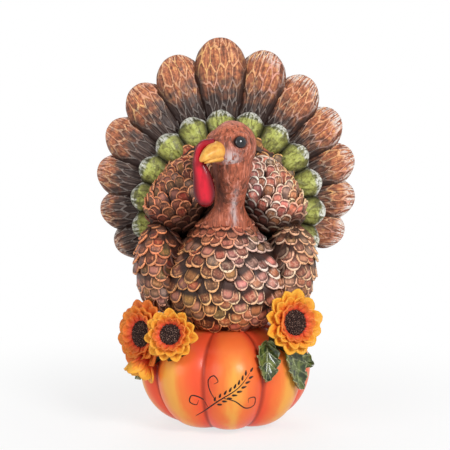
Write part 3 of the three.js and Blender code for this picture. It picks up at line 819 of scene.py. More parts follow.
def body_point(bird, bearing, polar):
    """Point and outward direction on the body, polar 0 at its top."""
    x = np.sin(polar) * np.sin(bearing)
    y = -np.sin(polar) * np.cos(bearing)
    z = np.cos(polar)
    full = 1 - bird.body_sag * z
    point = xyz(bird.body_width * full * x, bird.body_depth * full * y, bird.body_height * z)
    rising = z + bird.body_sag * (1 - z ** 2) / full
    out = xyz(x / bird.body_width / full, y / bird.body_depth / full, rising / bird.body_height)
    return point + np.array((0, 0, bird.body_middle)), unit(out)


def neck_middle(bird, up):
    """Middle of the neck, which swings from the breast up into the head."""
    swing = smooth(0, 0.75, up)
    x = bird.head_side * swing
    y = -mix(bird.body_depth / 6, bird.head_forward, swing)
    return xyz(x, y, mix(bird.neck_bottom, bird.head_middle, up))


# The neck's skin: its waist and throat in neck radii, and the bib that it ends in over the breast
WAIST = 0.84
THROAT = 1.14
BIB_TOP = 0.4
BIB_SWEEP = 1.35


def bib_point(bird, bearing, up):
    """Point on the neck as its skin lies: slim, then running out quickly over the breast."""
    slim = bird.neck_radius * mix(WAIST, THROAT, smooth(0.45, 0.85, up))
    radius = slim + bird.neck_flare * np.maximum(0, 1 - up / BIB_TOP) ** BIB_SWEEP
    return neck_middle(bird, up) + xyz(radius * np.sin(bearing), -radius * np.cos(bearing), 0)


def fan_matrix(fan):
    place = Matrix.Translation((fan.side, fan.back, fan.middle))
    return place @ Matrix.Rotation(-fan.lean, 4, "X")


def head_matrix(bird):
    place = Matrix.Translation((bird.head_side, -bird.head_forward, bird.head_middle))
    return place @ Matrix.Rotation(-bird.head_turn, 4, "Z")


# Small feathers

# Places of a feather's columns and rows, closest together where its rim is carved
COLUMN_PLACES = (-1, -0.86, -0.46, 0, 0.46, 0.86, 1)
ROW_PLACES = (0, 0.4, 0.64, 0.84, 0.93, 1)
TIP_START = 0.58
ROOT_WIDTH = 0.7
RIM_PLACE = 0.86
RIM_HALF = 0.1
# Relief of a feather, in shares of how proud it stands
CROWN_RELIEF = 0.2
RIM_RELIEF = 0.3
UNDERSIDE = -0.7
# Feathers laid side by side on the map before they start again
MAP_TILES = 60


def small_feather():
    """One small feather: straight at its root, half round at its tip, with a thin raised rim."""
    tile = model_tile("small_feather", len(COLUMN_PLACES) - 1, len(ROW_PLACES) - 1)
    points, faces = take_tile(tile)
    across = np.interp(points[:, 0], np.linspace(-1, 1, len(COLUMN_PLACES)), COLUMN_PLACES)
    along = np.interp(points[:, 1], np.linspace(-1, 1, len(ROW_PLACES)), ROW_PLACES)
    tip = np.clip(2 * along - 1, 0, 1)
    x = across * 0.5 * mix(ROOT_WIDTH, 1, smooth(0, 0.5, along)) * np.sqrt(1 - tip ** 2 / 2)
    y = TIP_START * np.minimum(1, 2 * along) + (1 - TIP_START) * tip * np.sqrt(1 - across ** 2 / 2)
    edge = np.maximum(np.abs(across), tip)
    rim = hill(edge - RIM_PLACE, RIM_HALF) * smooth(0.1, 0.4, along)
    crown = (1 - across ** 2) * np.sin(np.pi * along * 0.9)
    z = np.where(points[:, 2] > 0.5, CROWN_RELIEF * crown + RIM_RELIEF * rim, UNDERSIDE)
    return {"points": xyz(x, y, z), "faces": faces, "across": across, "along": along}


def lay_feathers(name, feather, seats, paint):
    """Copies of the small feather laid on their seats, joined as one piece."""
    point, out, tip = seats["point"], unit(seats["out"]), seats["tip"]
    tip = unit(tip - out * np.sum(tip * out, axis=-1, keepdims=True))
    lift = seats["lift"][:, None]
    roll = seats["roll"][:, None]
    along_axis = np.cos(lift) * tip + np.sin(lift) * out
    level_up = np.cos(lift) * out - np.sin(lift) * tip
    level_side = np.cross(tip, out)
    side_axis = np.cos(roll) * level_side + np.sin(roll) * level_up
    up_axis = np.cos(roll) * level_up - np.sin(roll) * level_side
    local = feather["points"]
    x = local[None, :, 0] * seats["width"][:, None]
    y = (local[None, :, 1] - 0.5) * seats["length"][:, None]
    z = local[None, :, 2] * seats["proud"] - x ** 2 / (2 * seats["bend"])
    points = (
        point[:, None] + x[..., None] * side_axis[:, None] + y[..., None] * along_axis[:, None]
        + z[..., None] * up_axis[:, None]
    )
    number, size = len(point), len(local)
    piece = piece_from(name, points.reshape(-1, 3), copies(points, feather["faces"]))
    tiles = np.repeat(np.arange(number) % MAP_TILES, size)
    map_tiles(piece, np.tile((feather["across"] + 1) / 2, number) + tiles, np.tile(feather["along"], number))
    mark(piece, "face", np.repeat(seats["face"], size, axis=0))
    mark(piece, "rim", np.repeat(seats["rim"], size, axis=0))
    mark(piece, "wash", np.full(number * size, seats["wash"]))
    finish_piece(piece, paint, "plumage_brown")


# Paints of the plumage in screen colours: a feather's face, and its rim where the dry brush caught it
FEATHER_PAINTS = {
    "umber": ((75, 45, 35), (138, 85, 60)),
    "walnut": ((98, 58, 44), (174, 106, 78)),
    "oak": ((88, 56, 40), (198, 142, 96)),
    "copper": ((110, 62, 49), (226, 142, 102)),
    "russet": ((116, 50, 40), (194, 88, 70)),
    "chestnut": ((132, 62, 42), (206, 120, 80)),
    "bronze": ((125, 75, 45), (230, 172, 98)),
    "amber": ((142, 92, 54), (220, 160, 102)),
    "ochre": ((178, 105, 66), (236, 167, 108)),
    "clay": ((128, 77, 62), (214, 162, 142)),
    "ash": ((107, 85, 70), (203, 172, 150)),
    "sand": ((130, 100, 77), (216, 180, 152)),
    "rose": ((168, 97, 84), (241, 193, 177)),
    "coral": ((204, 108, 85), (242, 160, 130)),
    "blush": ((212, 115, 104), (246, 198, 188)),
    "pearl": ((162, 127, 123), (229, 210, 210)),
}
# Where each paint lies thickest: X and Z in millimetres. The paler paints towards +X in these tables
# are partly painted light on the lit side; the breast's umber patches towards -X are painted shade beside the
# wing
BREAST_PATCHES = (
    (0, 125, "chestnut"), (-15, 118, "chestnut"), (-27, 112, "umber"), (12, 112, "pearl"),
    (9, 101, "rose"), (-14, 102, "bronze"), (0, 88, "bronze"), (-27, 95, "walnut"),
    (22, 98, "blush"), (20, 80, "coral"), (-18, 78, "amber"), (0, 72, "ochre"),
    (0, 61, "chestnut"), (-32, 72, "umber"), (32, 72, "walnut"),
)
WING_PATCHES = (
    (-42, 116, "chestnut"), (-35, 105, "russet"), (-50, 101, "oak"), (-45, 90, "walnut"),
    (-46, 81, "ash"), (-42, 74, "ash"), (38, 114, "clay"), (49, 111, "amber"),
    (42, 101, "rose"), (51, 92, "amber"), (40, 86, "clay"), (46, 78, "sand"),
)
SHOULDER_PATCHES = (
    (-36, 154, "copper"), (-30, 141, "copper"), (-45, 141, "copper"), (-22, 129, "walnut"),
    (-36, 121, "russet"), (18, 142, "pearl"), (27, 145, "blush"), (32, 132, "blush"),
    (41, 152, "ochre"), (47, 138, "ochre"), (38, 124, "coral"),
)
MANTLE_PATCHES = (
    (-26, 150, "copper"), (0, 166, "chestnut"), (26, 158, "amber"), (38, 140, "amber"),
    (-40, 130, "copper"), (0, 110, "walnut"),
)
PATCH_SPREAD = 9 * MM
PATCH_WANDER = 3 * MM
# Paints that the brush still held when it went from one feather to the next
STRAY_PAINTS = (
    (166, 124, 56), (184, 64, 44), (116, 110, 56), (208, 138, 124), (84, 50, 40), (156, 142, 130),
)
STRAY_SHARE = 0.65
RIM_GOLD = (244, 200, 122)
GOLD_SHARE = 0.2
# How far feathers of one patch differ in brightness and hue
FACE_LIGHTS = (0.65, 2.1)
RIM_LIGHTS = (1.0, 1.8)
HUE_STRAY = 0.08

# Rounded masses of the bird, as middles and half sizes in millimetres
MASSES = {
    "body": ((0, 0, 96.5), (39.5, 40, 39)),
    "breast": ((1, -11, 119), (21, 19, 20)),
    "wing_left": ((40, 0, 98.5), (15, 25.6, 26)),
    "wing_right": ((-40, 0, 98.5), (15, 25.6, 26)),
    "shoulder_left": ((28, 7.2, 138.5), (20, 18, 24)),
    "shoulder_right": ((-28, 7.2, 138.5), (20, 18, 24)),
}
# Painted shade between the masses: how far from another mass it reaches
SHADE_REACH = 6 * MM
# How much of the paint the painted shade takes away in the deepest recess
RECESS_SHADE = 0.85


def recess_shade(points, own):
    """How deep points lie between one mass and the others, which sets the painted shade there."""
    deep = np.zeros(len(points))
    for name, (middle, radii) in MASSES.items():
        if name in own:
            continue
        away = points - np.array(middle) * MM
        scale = np.linalg.norm(away / (np.array(radii) * MM), axis=1)
        gap = np.linalg.norm(away, axis=1) * (1 - 1 / np.maximum(scale, 1e-6))
        deep = np.maximum(deep, smooth(SHADE_REACH, 0, gap))
    return deep


def plumage(points, patches, dice):
    """Face and rim colours of feathers at these points, blended between patches and varied."""
    number = len(points)
    places = np.array([(x * MM, z * MM) for x, z, _ in patches])
    faces = np.array([linear(*FEATHER_PAINTS[name][0]) for _, _, name in patches])
    rims = np.array([linear(*FEATHER_PAINTS[name][1]) for _, _, name in patches])
    strays = np.array([linear(*stray) for stray in STRAY_PAINTS])
    wander = points[:, [0, 2]] + dice.normal(0, PATCH_WANDER, (number, 2))
    gap = np.linalg.norm(wander[:, None] - places[None], axis=-1)
    weight = np.exp(-((gap - gap.min(axis=1, keepdims=True)) / PATCH_SPREAD))
    weight /= weight.sum(axis=1, keepdims=True)
    light = dice.uniform(*FACE_LIGHTS, (number, 1)) * (1 + dice.normal(0, HUE_STRAY, (number, 3)))
    stray = strays[dice.integers(len(strays), size=number)]
    face = mix(weight @ faces * light, stray, dice.uniform(0, STRAY_SHARE, (number, 1)))
    rim_light = dice.uniform(*RIM_LIGHTS, (number, 1))
    gold = np.array(linear(*RIM_GOLD))
    rim = mix(weight @ rims * rim_light, gold, dice.uniform(0, GOLD_SHARE, (number, 1)))
    return np.clip(face, 0, 1), np.clip(rim, 0, 1)


# From one seat to the next, in feather widths
SEAT_PITCH = 0.9
LEAST_SEATS = 5
# How far the dark cores lie below the surface that carries the feathers; their dark paint shows in the gaps
# as wash and as painted shade
CORE_SINK = 1.8 * MM


def egg_surface(middle, radii, front=(0, -1, 0), pole=(0, 0, 1)):
    """An egg, as a function of bearings from its front and angles from its pole.

    It gives points, outward ways and the ways down from the pole.
    """

    def surface(bearing, polar):
        level = np.outer(np.sin(bearing), (1, 0, 0)) + np.outer(np.cos(bearing), front)
        out = level * np.sin(polar)[:, None] + np.outer(np.cos(polar), pole)
        down = level * np.cos(polar)[:, None] - np.outer(np.sin(polar), pole)
        return middle + out * radii, unit(out / radii), unit(down * radii)

    return surface


def rows_on(surface, girth, pitch, rows, strays=None, dice=None):
    """Seats in staggered rows on a surface, as one array of each thing that the surface gives.

    Rows are their number with the angles of the first and the last. Strays are how far seats lie
    off their places, in seats along their row and in rows across it.
    """
    number, first, last = rows
    row_step = (last - first) / (number - 1)
    seats = []
    for i in range(number):
        level = first + i * row_step
        around = max(LEAST_SEATS, round(math.sin(level) * girth / pitch))
        place = np.arange(around) + 0.5 * (i % 2)
        polar = np.full(around, level)
        if strays:
            place = place + dice.normal(0, strays[0], around)
            polar = polar + dice.normal(0, strays[1], around) * row_step
        seats.append(surface(place * 2 * math.pi / around, polar))
    return [np.concatenate(part) for part in zip(*seats)]


def carried(shape, points, outs, tips):
    """Seats moved by a change of shape, with their outward and tip ways turned along with it."""
    tips = unit(tips - outs * np.sum(tips * outs, axis=-1, keepdims=True))
    step = 0.2 * MM
    settled = shape(points)
    ahead = shape(points + tips * step) - settled
    beside = shape(points + np.cross(tips, outs) * step) - settled
    return settled, unit(np.cross(beside, ahead)), unit(ahead)


# How feathers differ from their neighbours: the way of the tip, their sizes, lift and roll
TIP_STRAY = 0.24
WIDTHS = (0.88, 1.14)
LENGTHS = (0.88, 1.15)
LIFT_STRAY = 0.025
ROLL_STRAY = 0.06


def seats_for(points, outs, tips, size, patches, dice, lift=0.16, own=(), wash=0.94):
    """Everything that lays small feathers at these points: their turn, sizes and colours.

    A size is a feather's width, length, relief and the radius that it is bent to. The wash is how
    far the roots are darkened as painted shade, and own names the masses that the feathers belong to.
    """
    width, long, proud, bend = size
    number = len(points)
    face, rim = plumage(points, patches, dice)
    # Painted shade: feathers that lie near another mass are darkened
    recess_shaded = 1 - RECESS_SHADE * recess_shade(points, own)[:, None]
    stray = dice.normal(0, TIP_STRAY, (number, 1))
    return {
        "point": points, "out": outs, "tip": tips + stray * np.cross(outs, tips),
        "width": width * dice.uniform(*WIDTHS, number),
        "length": long * dice.uniform(*LENGTHS, number),
        "lift": dice.normal(lift, LIFT_STRAY, number), "roll": dice.normal(0, ROLL_STRAY, number),
        "proud": proud, "bend": bend, "face": face * recess_shaded, "rim": rim * recess_shaded, "wash": wash,
    }


# Carved feathers of the fan

# Share of a feather's length, from its root, that has plain ribs and no cells
PLAIN_SHARE = 0.47
RIB_ROWS = 0.5
# How near rows of cells lie to each other against their columns; lower means longer points
ROW_PITCH = 0.7
# How far cells stray across and along the feather, and how their ridges waver
CELL_STRAY = (0.1, 0.14)
WAVER = 0.17
WAVER_SIZE = 0.7
RIDGE_EDGES = (0.03, 0.18)


def carved_cells(across, along, columns, rows, dice):
    """Ridges between staggered long cells, plain ribs near the root: 1 on a ridge, 0 in a cell."""
    row = RIB_ROWS * along + rows * np.maximum(0, along - PLAIN_SHARE) / (1 - PLAIN_SHARE)
    centres = []
    for j in range(-1, math.ceil(rows) + 2):
        for i in range(-math.ceil(columns), math.ceil(columns) + 1):
            x = i + 0.5 * (j % 2) + dice.normal(0, CELL_STRAY[0])
            centres.append((x, j + dice.normal(0, CELL_STRAY[1])))
    centres = np.array(centres) * (1, ROW_PITCH)
    at = np.stack([across * columns / 2, row * ROW_PITCH], -1)
    spot = np.concatenate([at, np.full((len(at), 1), dice.uniform(0, 99))], axis=1)
    at = at + WAVER * np.stack([cloud(spot, WAVER_SIZE), cloud(spot + 30, WAVER_SIZE)], -1)
    gaps = np.sqrt(((at[:, None] - centres[None]) ** 2).sum(-1))
    nearest = np.partition(gaps, 1, axis=1)
    return 1 - smooth(*RIDGE_EDGES, nearest[:, 1] - nearest[:, 0])


# Outline of a fan's feather: where it is widest, how its tip closes and its corners drop
WIDEST_AT = 0.78
TIP_CLOSE = 0.2
CORNER_DROP = 0.24
ROW_CROWDING = 1.2
FROST_REACH = 0.4
BACK_RELIEF = 0.7
LUMP_HEIGHT = 0.3 * MM
LUMP_SIZE = 6 * MM
WARM_SIZE = 14 * MM


def fan_feather(
    name, frame_of, grid, cells, dice, root, reach, width, root_share, thickness, crown, ridge,
    frost, frost_from, smoke=0,
):
    """A pillowy feather with a round tip, carved on both sides, as a closed piece."""
    piece = add_grid(name, *grid)
    flat = points_of(piece)
    thicken(piece)
    across = flat[:, 0]
    side = np.abs(across)
    along = 1 - ((1 - flat[:, 1]) / 2) ** ROW_CROWDING
    swell = mix(root_share, 1, np.minimum(1, along / WIDEST_AT))
    close = TIP_CLOSE * np.maximum(0, (along - WIDEST_AT) / (1 - WIDEST_AT)) ** 2
    x = width / 2 * across * (swell - close)
    z = mix(root, reach, along) - width * CORNER_DROP * side ** 2.3 * along ** 4
    tip = np.clip(1 - (1 - along) * (reach - root) / width * 2, 0, 1)
    edge = np.maximum(side, tip)
    half = thickness / 2 * np.sqrt(np.clip(1 - edge ** 5, 0.02, 1))
    arch = (1 - side ** 2.2) * smooth(0, 0.5, along) * (1 - 0.6 * smooth(0.3, 1, tip) ** 2)
    carving = carved_cells(across, along, *cells, dice) * (1 - smooth(0.94, 1, edge) * 0.6)
    relief = ridge * (carving - 0.25) * (1 - smooth(0.92, 1, edge))
    place = xyz(x, z, dice.uniform())
    wave = LUMP_HEIGHT * cloud(place, LUMP_SIZE) * (1 - edge ** 4)
    front = xyz(x, -crown * arch - half - relief + wave, z)
    back = xyz(x, -crown * arch + half + relief * BACK_RELIEF, z)
    place_points(piece, moved(np.concatenate([front, back]), frame_of))
    face_outwards(piece)
    map_tiles(piece, np.tile((across + 1) / 2 + dice.integers(9), 2), np.tile(along, 2))
    frosted = smooth(frost_from, frost_from + FROST_REACH, np.maximum(tip, side * along ** 2))
    warm = np.clip(0.5 + 0.9 * cloud(place, WARM_SIZE) - 0.3 * across, 0, 1)
    mark_both(
        piece, along=along, ridge=carving, side=side, smoke=np.full(len(side), smoke),
        frost=frost * frosted, warm=warm,
    )
    return piece


# Operators

class TurkeyOperator(bpy.types.Operator):
    """Shared ways to reach the figure's sizes and paints"""

    bl_options = {"REGISTER", "UNDO"}

    def pumpkin(self):
        return bpy.context.scene.turkey_pumpkin

    def bird(self):
        return bpy.context.scene.turkey_bird

    def fan(self):
        return bpy.context.scene.turkey_fan

    def flowers(self):
        return bpy.context.scene.turkey_flowers

    def colours(self):
        return bpy.context.scene.turkey_colours


class TURKEY_OT_foot(TurkeyOperator):
    """Paints the felt pad and the closing plate under the pumpkin"""

    bl_idname = "turkey.foot"
    bl_label = "Foot"

    def execute(self, context):
        colours = self.colours()
        soiled = paint_mid(colours.resin, colours.umber)
        felt = plain_paint("felt", colours.felt, colours.umber, 0.85, 0.6 * MM)
        resin = plain_paint("bare resin", colours.resin, soiled, 0.6, 2 * MM)
        for node, paint in (("felt_pad", felt), ("closing_plate", resin)):
            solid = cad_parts[node]
            solid.data.materials.clear()
            solid.data.materials.append(paint)
        return {"FINISHED"}


class TURKEY_OT_pumpkin(TurkeyOperator):
    """Models the ribbed pumpkin"""

    bl_idname = "turkey.pumpkin"
    bl_label = "Pumpkin"

    COLUMNS_PER_LOBE = 32
    ROWS = 110
    # Shares of the rows at which the flat foot ends and the hollow crown starts
    FOOT_END = 0.08
    CROWN_START = 0.88

    def execute(self, context):
        pumpkin = self.pumpkin()
        piece = add_ball("pumpkin", pumpkin.lobes * self.COLUMNS_PER_LOBE, self.ROWS)
        ball = points_of(piece)
        bearing, up = bearing_of(ball), rise_of(ball)
        low = -math.pi / 2 * (1 - (up - self.FOOT_END) / (0.5 - self.FOOT_END))
        high = math.pi / 2 * (up - 0.5) / (self.CROWN_START - 0.5)
        angle = np.clip(np.where(up < 0.5, low, high), -math.pi / 2, math.pi / 2)
        side = pumpkin_point(pumpkin, bearing, angle)
        foot = ribbed(pumpkin, bearing, pumpkin.foot * up / self.FOOT_END, np.full(len(up), pumpkin.felt))
        inward = (up - self.CROWN_START) / (1 - self.CROWN_START)
        dimple = ribbed(
            pumpkin, bearing, pumpkin.crown * (1 - inward),
            pumpkin.felt + pumpkin.height - pumpkin.dimple * inward ** 2,
        )
        points = np.where((up < self.FOOT_END)[:, None], foot, side)
        points = np.where((up > self.CROWN_START)[:, None], dimple, points)
        place_points(piece, points)
        mark(piece, "crest", 1 - np.abs(lobe_place(pumpkin, bearing)))
        mark(piece, "rise", (points[:, 2] - pumpkin.felt) / pumpkin.height)
        finish_piece(piece, pumpkin_paint(self.colours()), "pumpkin_paint", "pumpkin_shell")
        return {"FINISHED"}


class TURKEY_OT_sprig(TurkeyOperator):
    """Paints an ear of wheat with tendrils across the front lobes, as slightly raised strokes"""

    bl_idname = "turkey.sprig"
    bl_label = "Painted sprig"

    # Stations of each stroke: bearing in degrees and height in millimetres
    STEM = ((-25, 13), (-15, 18), (-3, 26), (8, 33), (17, 42))
    TENDRILS = (
        ((-13, 19), (-18, 25), (-24, 27), (-26, 23), (-22, 21), (-20, 24)),
        ((-2, 27), (6, 25), (14, 20), (21, 21), (21, 26), (16, 26), (16, 23)),
        ((-6, 24), (-11, 31), (-12, 37), (-8, 40), (-5, 37), (-8, 35)),
    )
    # The ear: where it starts on the stem, its pairs of grains, a grain's size and how far it leans
    EAR_START = 0.42
    GRAINS = 8
    GRAIN = (1.3 * MM, 3.4 * MM, 0.4 * MM)
    GRAIN_LEAN = 0.62
    STROKE_FLATNESS = 0.5

    def execute(self, context):
        pumpkin = self.pumpkin()
        colours = self.colours()
        parts = [self.stroke(stations, pumpkin.sprig_line) for stations in (self.STEM, *self.TENDRILS)]
        parts += [self.grain(k) for k in range(2 * self.GRAINS + 1)]
        points, faces = [], []
        for part_points, part_faces in parts:
            faces += shifted(part_faces, sum(len(p) for p in points))
            points.append(part_points)
        piece = piece_from("painted_sprig", np.concatenate(points), faces)
        face_outwards(piece)
        ink = plain_paint("sprig paint", colours.sprig, colours.umber, 0.3, 2 * MM)
        finish_piece(piece, ink, "pumpkin_paint")
        return {"FINISHED"}

    def on_skin(self, stations, along):
        """Places on the pumpkin's skin along a stroke, with the ways outward and along it."""
        pumpkin = self.pumpkin()
        flat = np.array([(math.radians(bearing), height * MM) for bearing, height in stations])

        def skin(at):
            bearing, height = at[:, 0], at[:, 1] - pumpkin.felt - pumpkin.widest
            rise = np.where(height < 0, pumpkin.widest, pumpkin.height - pumpkin.widest)
            return pumpkin_point(pumpkin, bearing, np.arcsin(np.clip(height / rise, -1, 1)))

        at = spline(flat, along)
        place = skin(at)
        sideways = skin(at + np.array((0.01, 0))) - place
        upward = skin(at + np.array((0, 0.4 * MM))) - place
        ahead = heading(lambda t: skin(spline(flat, t)), along)
        return place, unit(np.cross(sideways, upward)), ahead

    def stroke(self, stations, line):
        ball, faces = take_ball(8, 48)
        along = 1 - rise_of(ball)
        around = np.arctan2(ball[:, 1], ball[:, 0])
        place, out, ahead = self.on_skin(stations, along)
        radius = line * np.sin(np.pi * along) ** 0.35 * mix(1.2, 0.7, along)
        side = unit(np.cross(out, ahead))
        across = side * (radius * np.cos(around))[:, None]
        raised = out * (self.STROKE_FLATNESS * radius * np.sin(around))[:, None]
        return place + across + raised, faces

    def grain(self, k):
        ball, faces = take_ball(10, 8)
        along = np.array([mix(self.EAR_START, 1, (k // 2) / self.GRAINS)])
        place, out, ahead = (way[0] for way in self.on_skin(self.STEM, along))
        side = unit(np.cross(out, ahead))
        lean = 0 if k == 2 * self.GRAINS else (1 if k % 2 else -1)
        axis = unit(ahead + self.GRAIN_LEAN * lean * side)
        across = np.cross(out, axis)
        wide, long, thick = self.GRAIN
        middle = place + lean * side * wide + axis * long / 2
        points = (
            middle + np.outer(ball[:, 0] * wide / 2 * (1 - 0.4 * ball[:, 1]), across)
            + np.outer(ball[:, 1] * long / 2, axis) + np.outer(ball[:, 2] * thick, out)
        )
        return points, faces


class TURKEY_OT_body(TurkeyOperator):
    """Models the body and covers it with small feathers that point down and out to the sides"""

    bl_idname = "turkey.body"
    bl_label = "Body"

    ROWS = (15, math.radians(36), math.radians(166))
    STRAYS = (0.13, 0.24)
    BEND = 30 * MM
    # A small step down the body, and how far tips turn aside over it at the breast and at the belly
    STEP = 0.02
    SPREAD = (0.02, 0.006)
    # Heights between which the feathers get smaller and take on the neck's paint
    SMALLER = (106 * MM, 124 * MM)
    SMALL_WIDTH = 0.86
    SMALL_LENGTH = 0.88
    COLLAR = (117 * MM, 127 * MM)
    COLLAR_PAINT = 0.75
    # Heights between which the breast is drawn in, and those of the belly's fullness
    DRAWN_IN = (100 * MM, 122 * MM)
    BELLY_TOP = (106 * MM, 92 * MM)
    BELLY_FOOT = (56 * MM, 66 * MM)

    def execute(self, context):
        bird = self.bird()
        colours = self.colours()
        dice = np.random.default_rng(11)
        paint = feather_paint(colours)
        core = add_ball("body_core", 64, 40)
        ball = points_of(core)
        point, out = body_point(bird, bearing_of(ball), np.arccos(np.clip(ball[:, 2], -1, 1)))
        place_points(core, self.breast(point - out * CORE_SINK))
        finish_piece(core, shade_wash_paint(colours), "plumage_brown", "body")
        girth = math.pi * (bird.body_width + bird.body_depth)
        pitch = bird.scale_width * SEAT_PITCH
        seats = rows_on(self.surface, girth, pitch, self.ROWS, self.STRAYS, dice)
        points, outs, tips = carried(self.breast, *seats)
        size = (bird.scale_width, bird.scale_length, bird.scale_proud, self.BEND)
        seats = seats_for(points, outs, tips, size, BREAST_PATCHES, dice, own=("body", "breast"))
        high = smooth(*self.SMALLER, points[:, 2])
        seats["width"] *= mix(1, self.SMALL_WIDTH, high)
        seats["length"] *= mix(1, self.SMALL_LENGTH, high)
        collar = smooth(*self.COLLAR, points[:, 2])
        seats["lift"] += 0.03 * high - 0.1 * collar
        skin = self.COLLAR_PAINT * collar[:, None]
        seats["face"] = mix(seats["face"], np.array(colours.skin_rust), skin)
        seats["rim"] = mix(seats["rim"], np.array(colours.skin_orange), skin)
        lay_feathers("breast_feathers", small_feather(), seats, paint)
        return {"FINISHED"}

    def surface(self, bearing, polar):
        """Points, outward ways and tip ways on the plain body."""
        bird = self.bird()
        point, out = body_point(bird, bearing, polar)
        aside = mix(*self.SPREAD, smooth(1.0, 2.0, polar)) * np.sin(bearing)
        below, _ = body_point(bird, bearing + aside, polar + self.STEP)
        return point, out, unit(below - point)

    def breast(self, points):
        """Draws the breast in towards the neck and fills the belly out between the wings."""
        height = points[:, 2]
        slim = 0.28 * smooth(*self.DRAWN_IN, height)
        full = 0.13 * smooth(*self.BELLY_TOP, height) * smooth(*self.BELLY_FOOT, height)
        shaped = points.copy()
        shaped[:, 0] *= 1 + full - slim
        return shaped


class TURKEY_OT_wings(TurkeyOperator):
    """Models the shoulders, whose feathers point up, and the wings, whose feathers point down"""

    bl_idname = "turkey.wings"
    bl_label = "Shoulders and wings"

    # Each egg on the left side, in millimetres; rows are their number and the angles of first and last, and
    # the wash sets the painted shade at the feathers' roots
    EGGS = {
        "shoulder": {
            "middle": (30, 7.2, 138.5), "radii": (20, 18, 24), "feather": (7.2, 11.6, 0.9, 20),
            "rows": (13, 0.2, 2.5), "lift": 0.22, "wash": 0.55, "patches": SHOULDER_PATCHES,
        },
        "wing": {
            "middle": (40, 0, 98.5), "radii": (15, 25.6, 26), "feather": (8.8, 15, 1.1, 18),
            "rows": (12, 0.28, 2.9), "lift": 0.16, "wash": 0.72, "patches": WING_PATCHES,
        },
    }
    STRAYS = (0.15, 0.22)
    # How far shoulders lean in to the head, and the heights between which they do
    LEAN = 8.5 * MM
    LEAN_HEIGHTS = (126 * MM, 160 * MM)
    SHOULDER_SPLAY = 0.5
    # How a wing's feathers get smaller at its top and stand off at its lower end
    WING_SPLAY = 0.25
    SMALL_TOP = 0.7
    HANGING_LIFT = 0.42
    TOP_LIFT = 0.08
    # How a wing's lower end is shortened, drawn in and let down beside the breast
    SHORTENED = 0.06
    DRAWN_IN = 0.12
    LET_DOWN = 3.8 * MM
    BESIDE_BREAST = (-4 * MM, 10 * MM)

    def execute(self, context):
        dice = np.random.default_rng(23)
        paint = feather_paint(self.colours())
        wash = shade_wash_paint(self.colours())
        feather = small_feather()
        for side in ("left", "right"):
            for part in ("shoulder", "wing"):
                self.egg(part, side, feather, paint, wash, dice)
        return {"FINISHED"}

    def egg(self, part, side, feather, paint, wash, dice):
        kind = self.EGGS[part]
        node = f"{part}_{side}"
        sign = 1 if side == "left" else -1
        middle = np.array(kind["middle"]) * MM * (sign, 1, 1)
        radii = np.array(kind["radii"]) * MM
        size = np.array(kind["feather"]) * MM

        def settled(points):
            if part == "shoulder":
                return self.leant(points, sign)
            return self.hung(points, sign, middle, radii[2])

        core = add_ball(f"{part}_core_{side}", 48, 32)
        place_points(core, settled(middle + points_of(core) * (radii - CORE_SINK)))
        finish_piece(core, wash, "plumage_brown", node)
        girth = math.pi * (radii[0] + radii[1])
        points, outs, downs = rows_on(
            egg_surface(middle, radii), girth, size[0] * SEAT_PITCH, kind["rows"], self.STRAYS, dice
        )
        hanging = smooth(0.1, 0.8, -outs[:, 2])
        if part == "shoulder":
            tips = np.array((self.SHOULDER_SPLAY * sign, 0, 0)) - downs
        else:
            tips = mix(downs, np.array((self.WING_SPLAY * sign, 0, -1)), hanging[:, None])
        points, outs, tips = carried(settled, points, outs, tips)
        seats = seats_for(
            points, outs, tips, size, kind["patches"], dice, kind["lift"], (node,), kind["wash"]
        )
        if part == "wing":
            top = smooth(0.4, 0.9, outs[:, 2])
            seats["width"] *= mix(1, self.SMALL_TOP, top)
            seats["length"] *= mix(1, self.SMALL_TOP, top)
            seats["lift"] += self.HANGING_LIFT * hanging - self.TOP_LIFT * top
        lay_feathers(f"{part}_feathers_{side}", feather, seats, paint)

    def leant(self, points, sign):
        """Leans a shoulder in towards the head."""
        settled = points.copy()
        settled[:, 0] -= sign * self.LEAN * smooth(*self.LEAN_HEIGHTS, points[:, 2])
        return settled

    def hung(self, points, sign, middle, half_height):
        """Makes a wing's lower end fuller and shorter, draws it in and lets it down at the breast."""
        settled = points.copy()
        below = np.minimum(0, points[:, 2] - middle[2])
        deep = np.minimum(0.97, -below / half_height)
        fuller = (1 - deep ** 3) ** 0.45 / np.sqrt(1 - deep ** 2)
        settled[:, :2] = middle[:2] + (points[:, :2] - middle[:2]) * fuller[:, None]
        beside = smooth(*self.BESIDE_BREAST, sign * (middle[0] - points[:, 0]))
        settled[:, 2] -= self.SHORTENED * below + self.LET_DOWN * smooth(0.3, 0.9, deep) * beside
        settled[:, 0] += sign * self.DRAWN_IN * below
        return settled


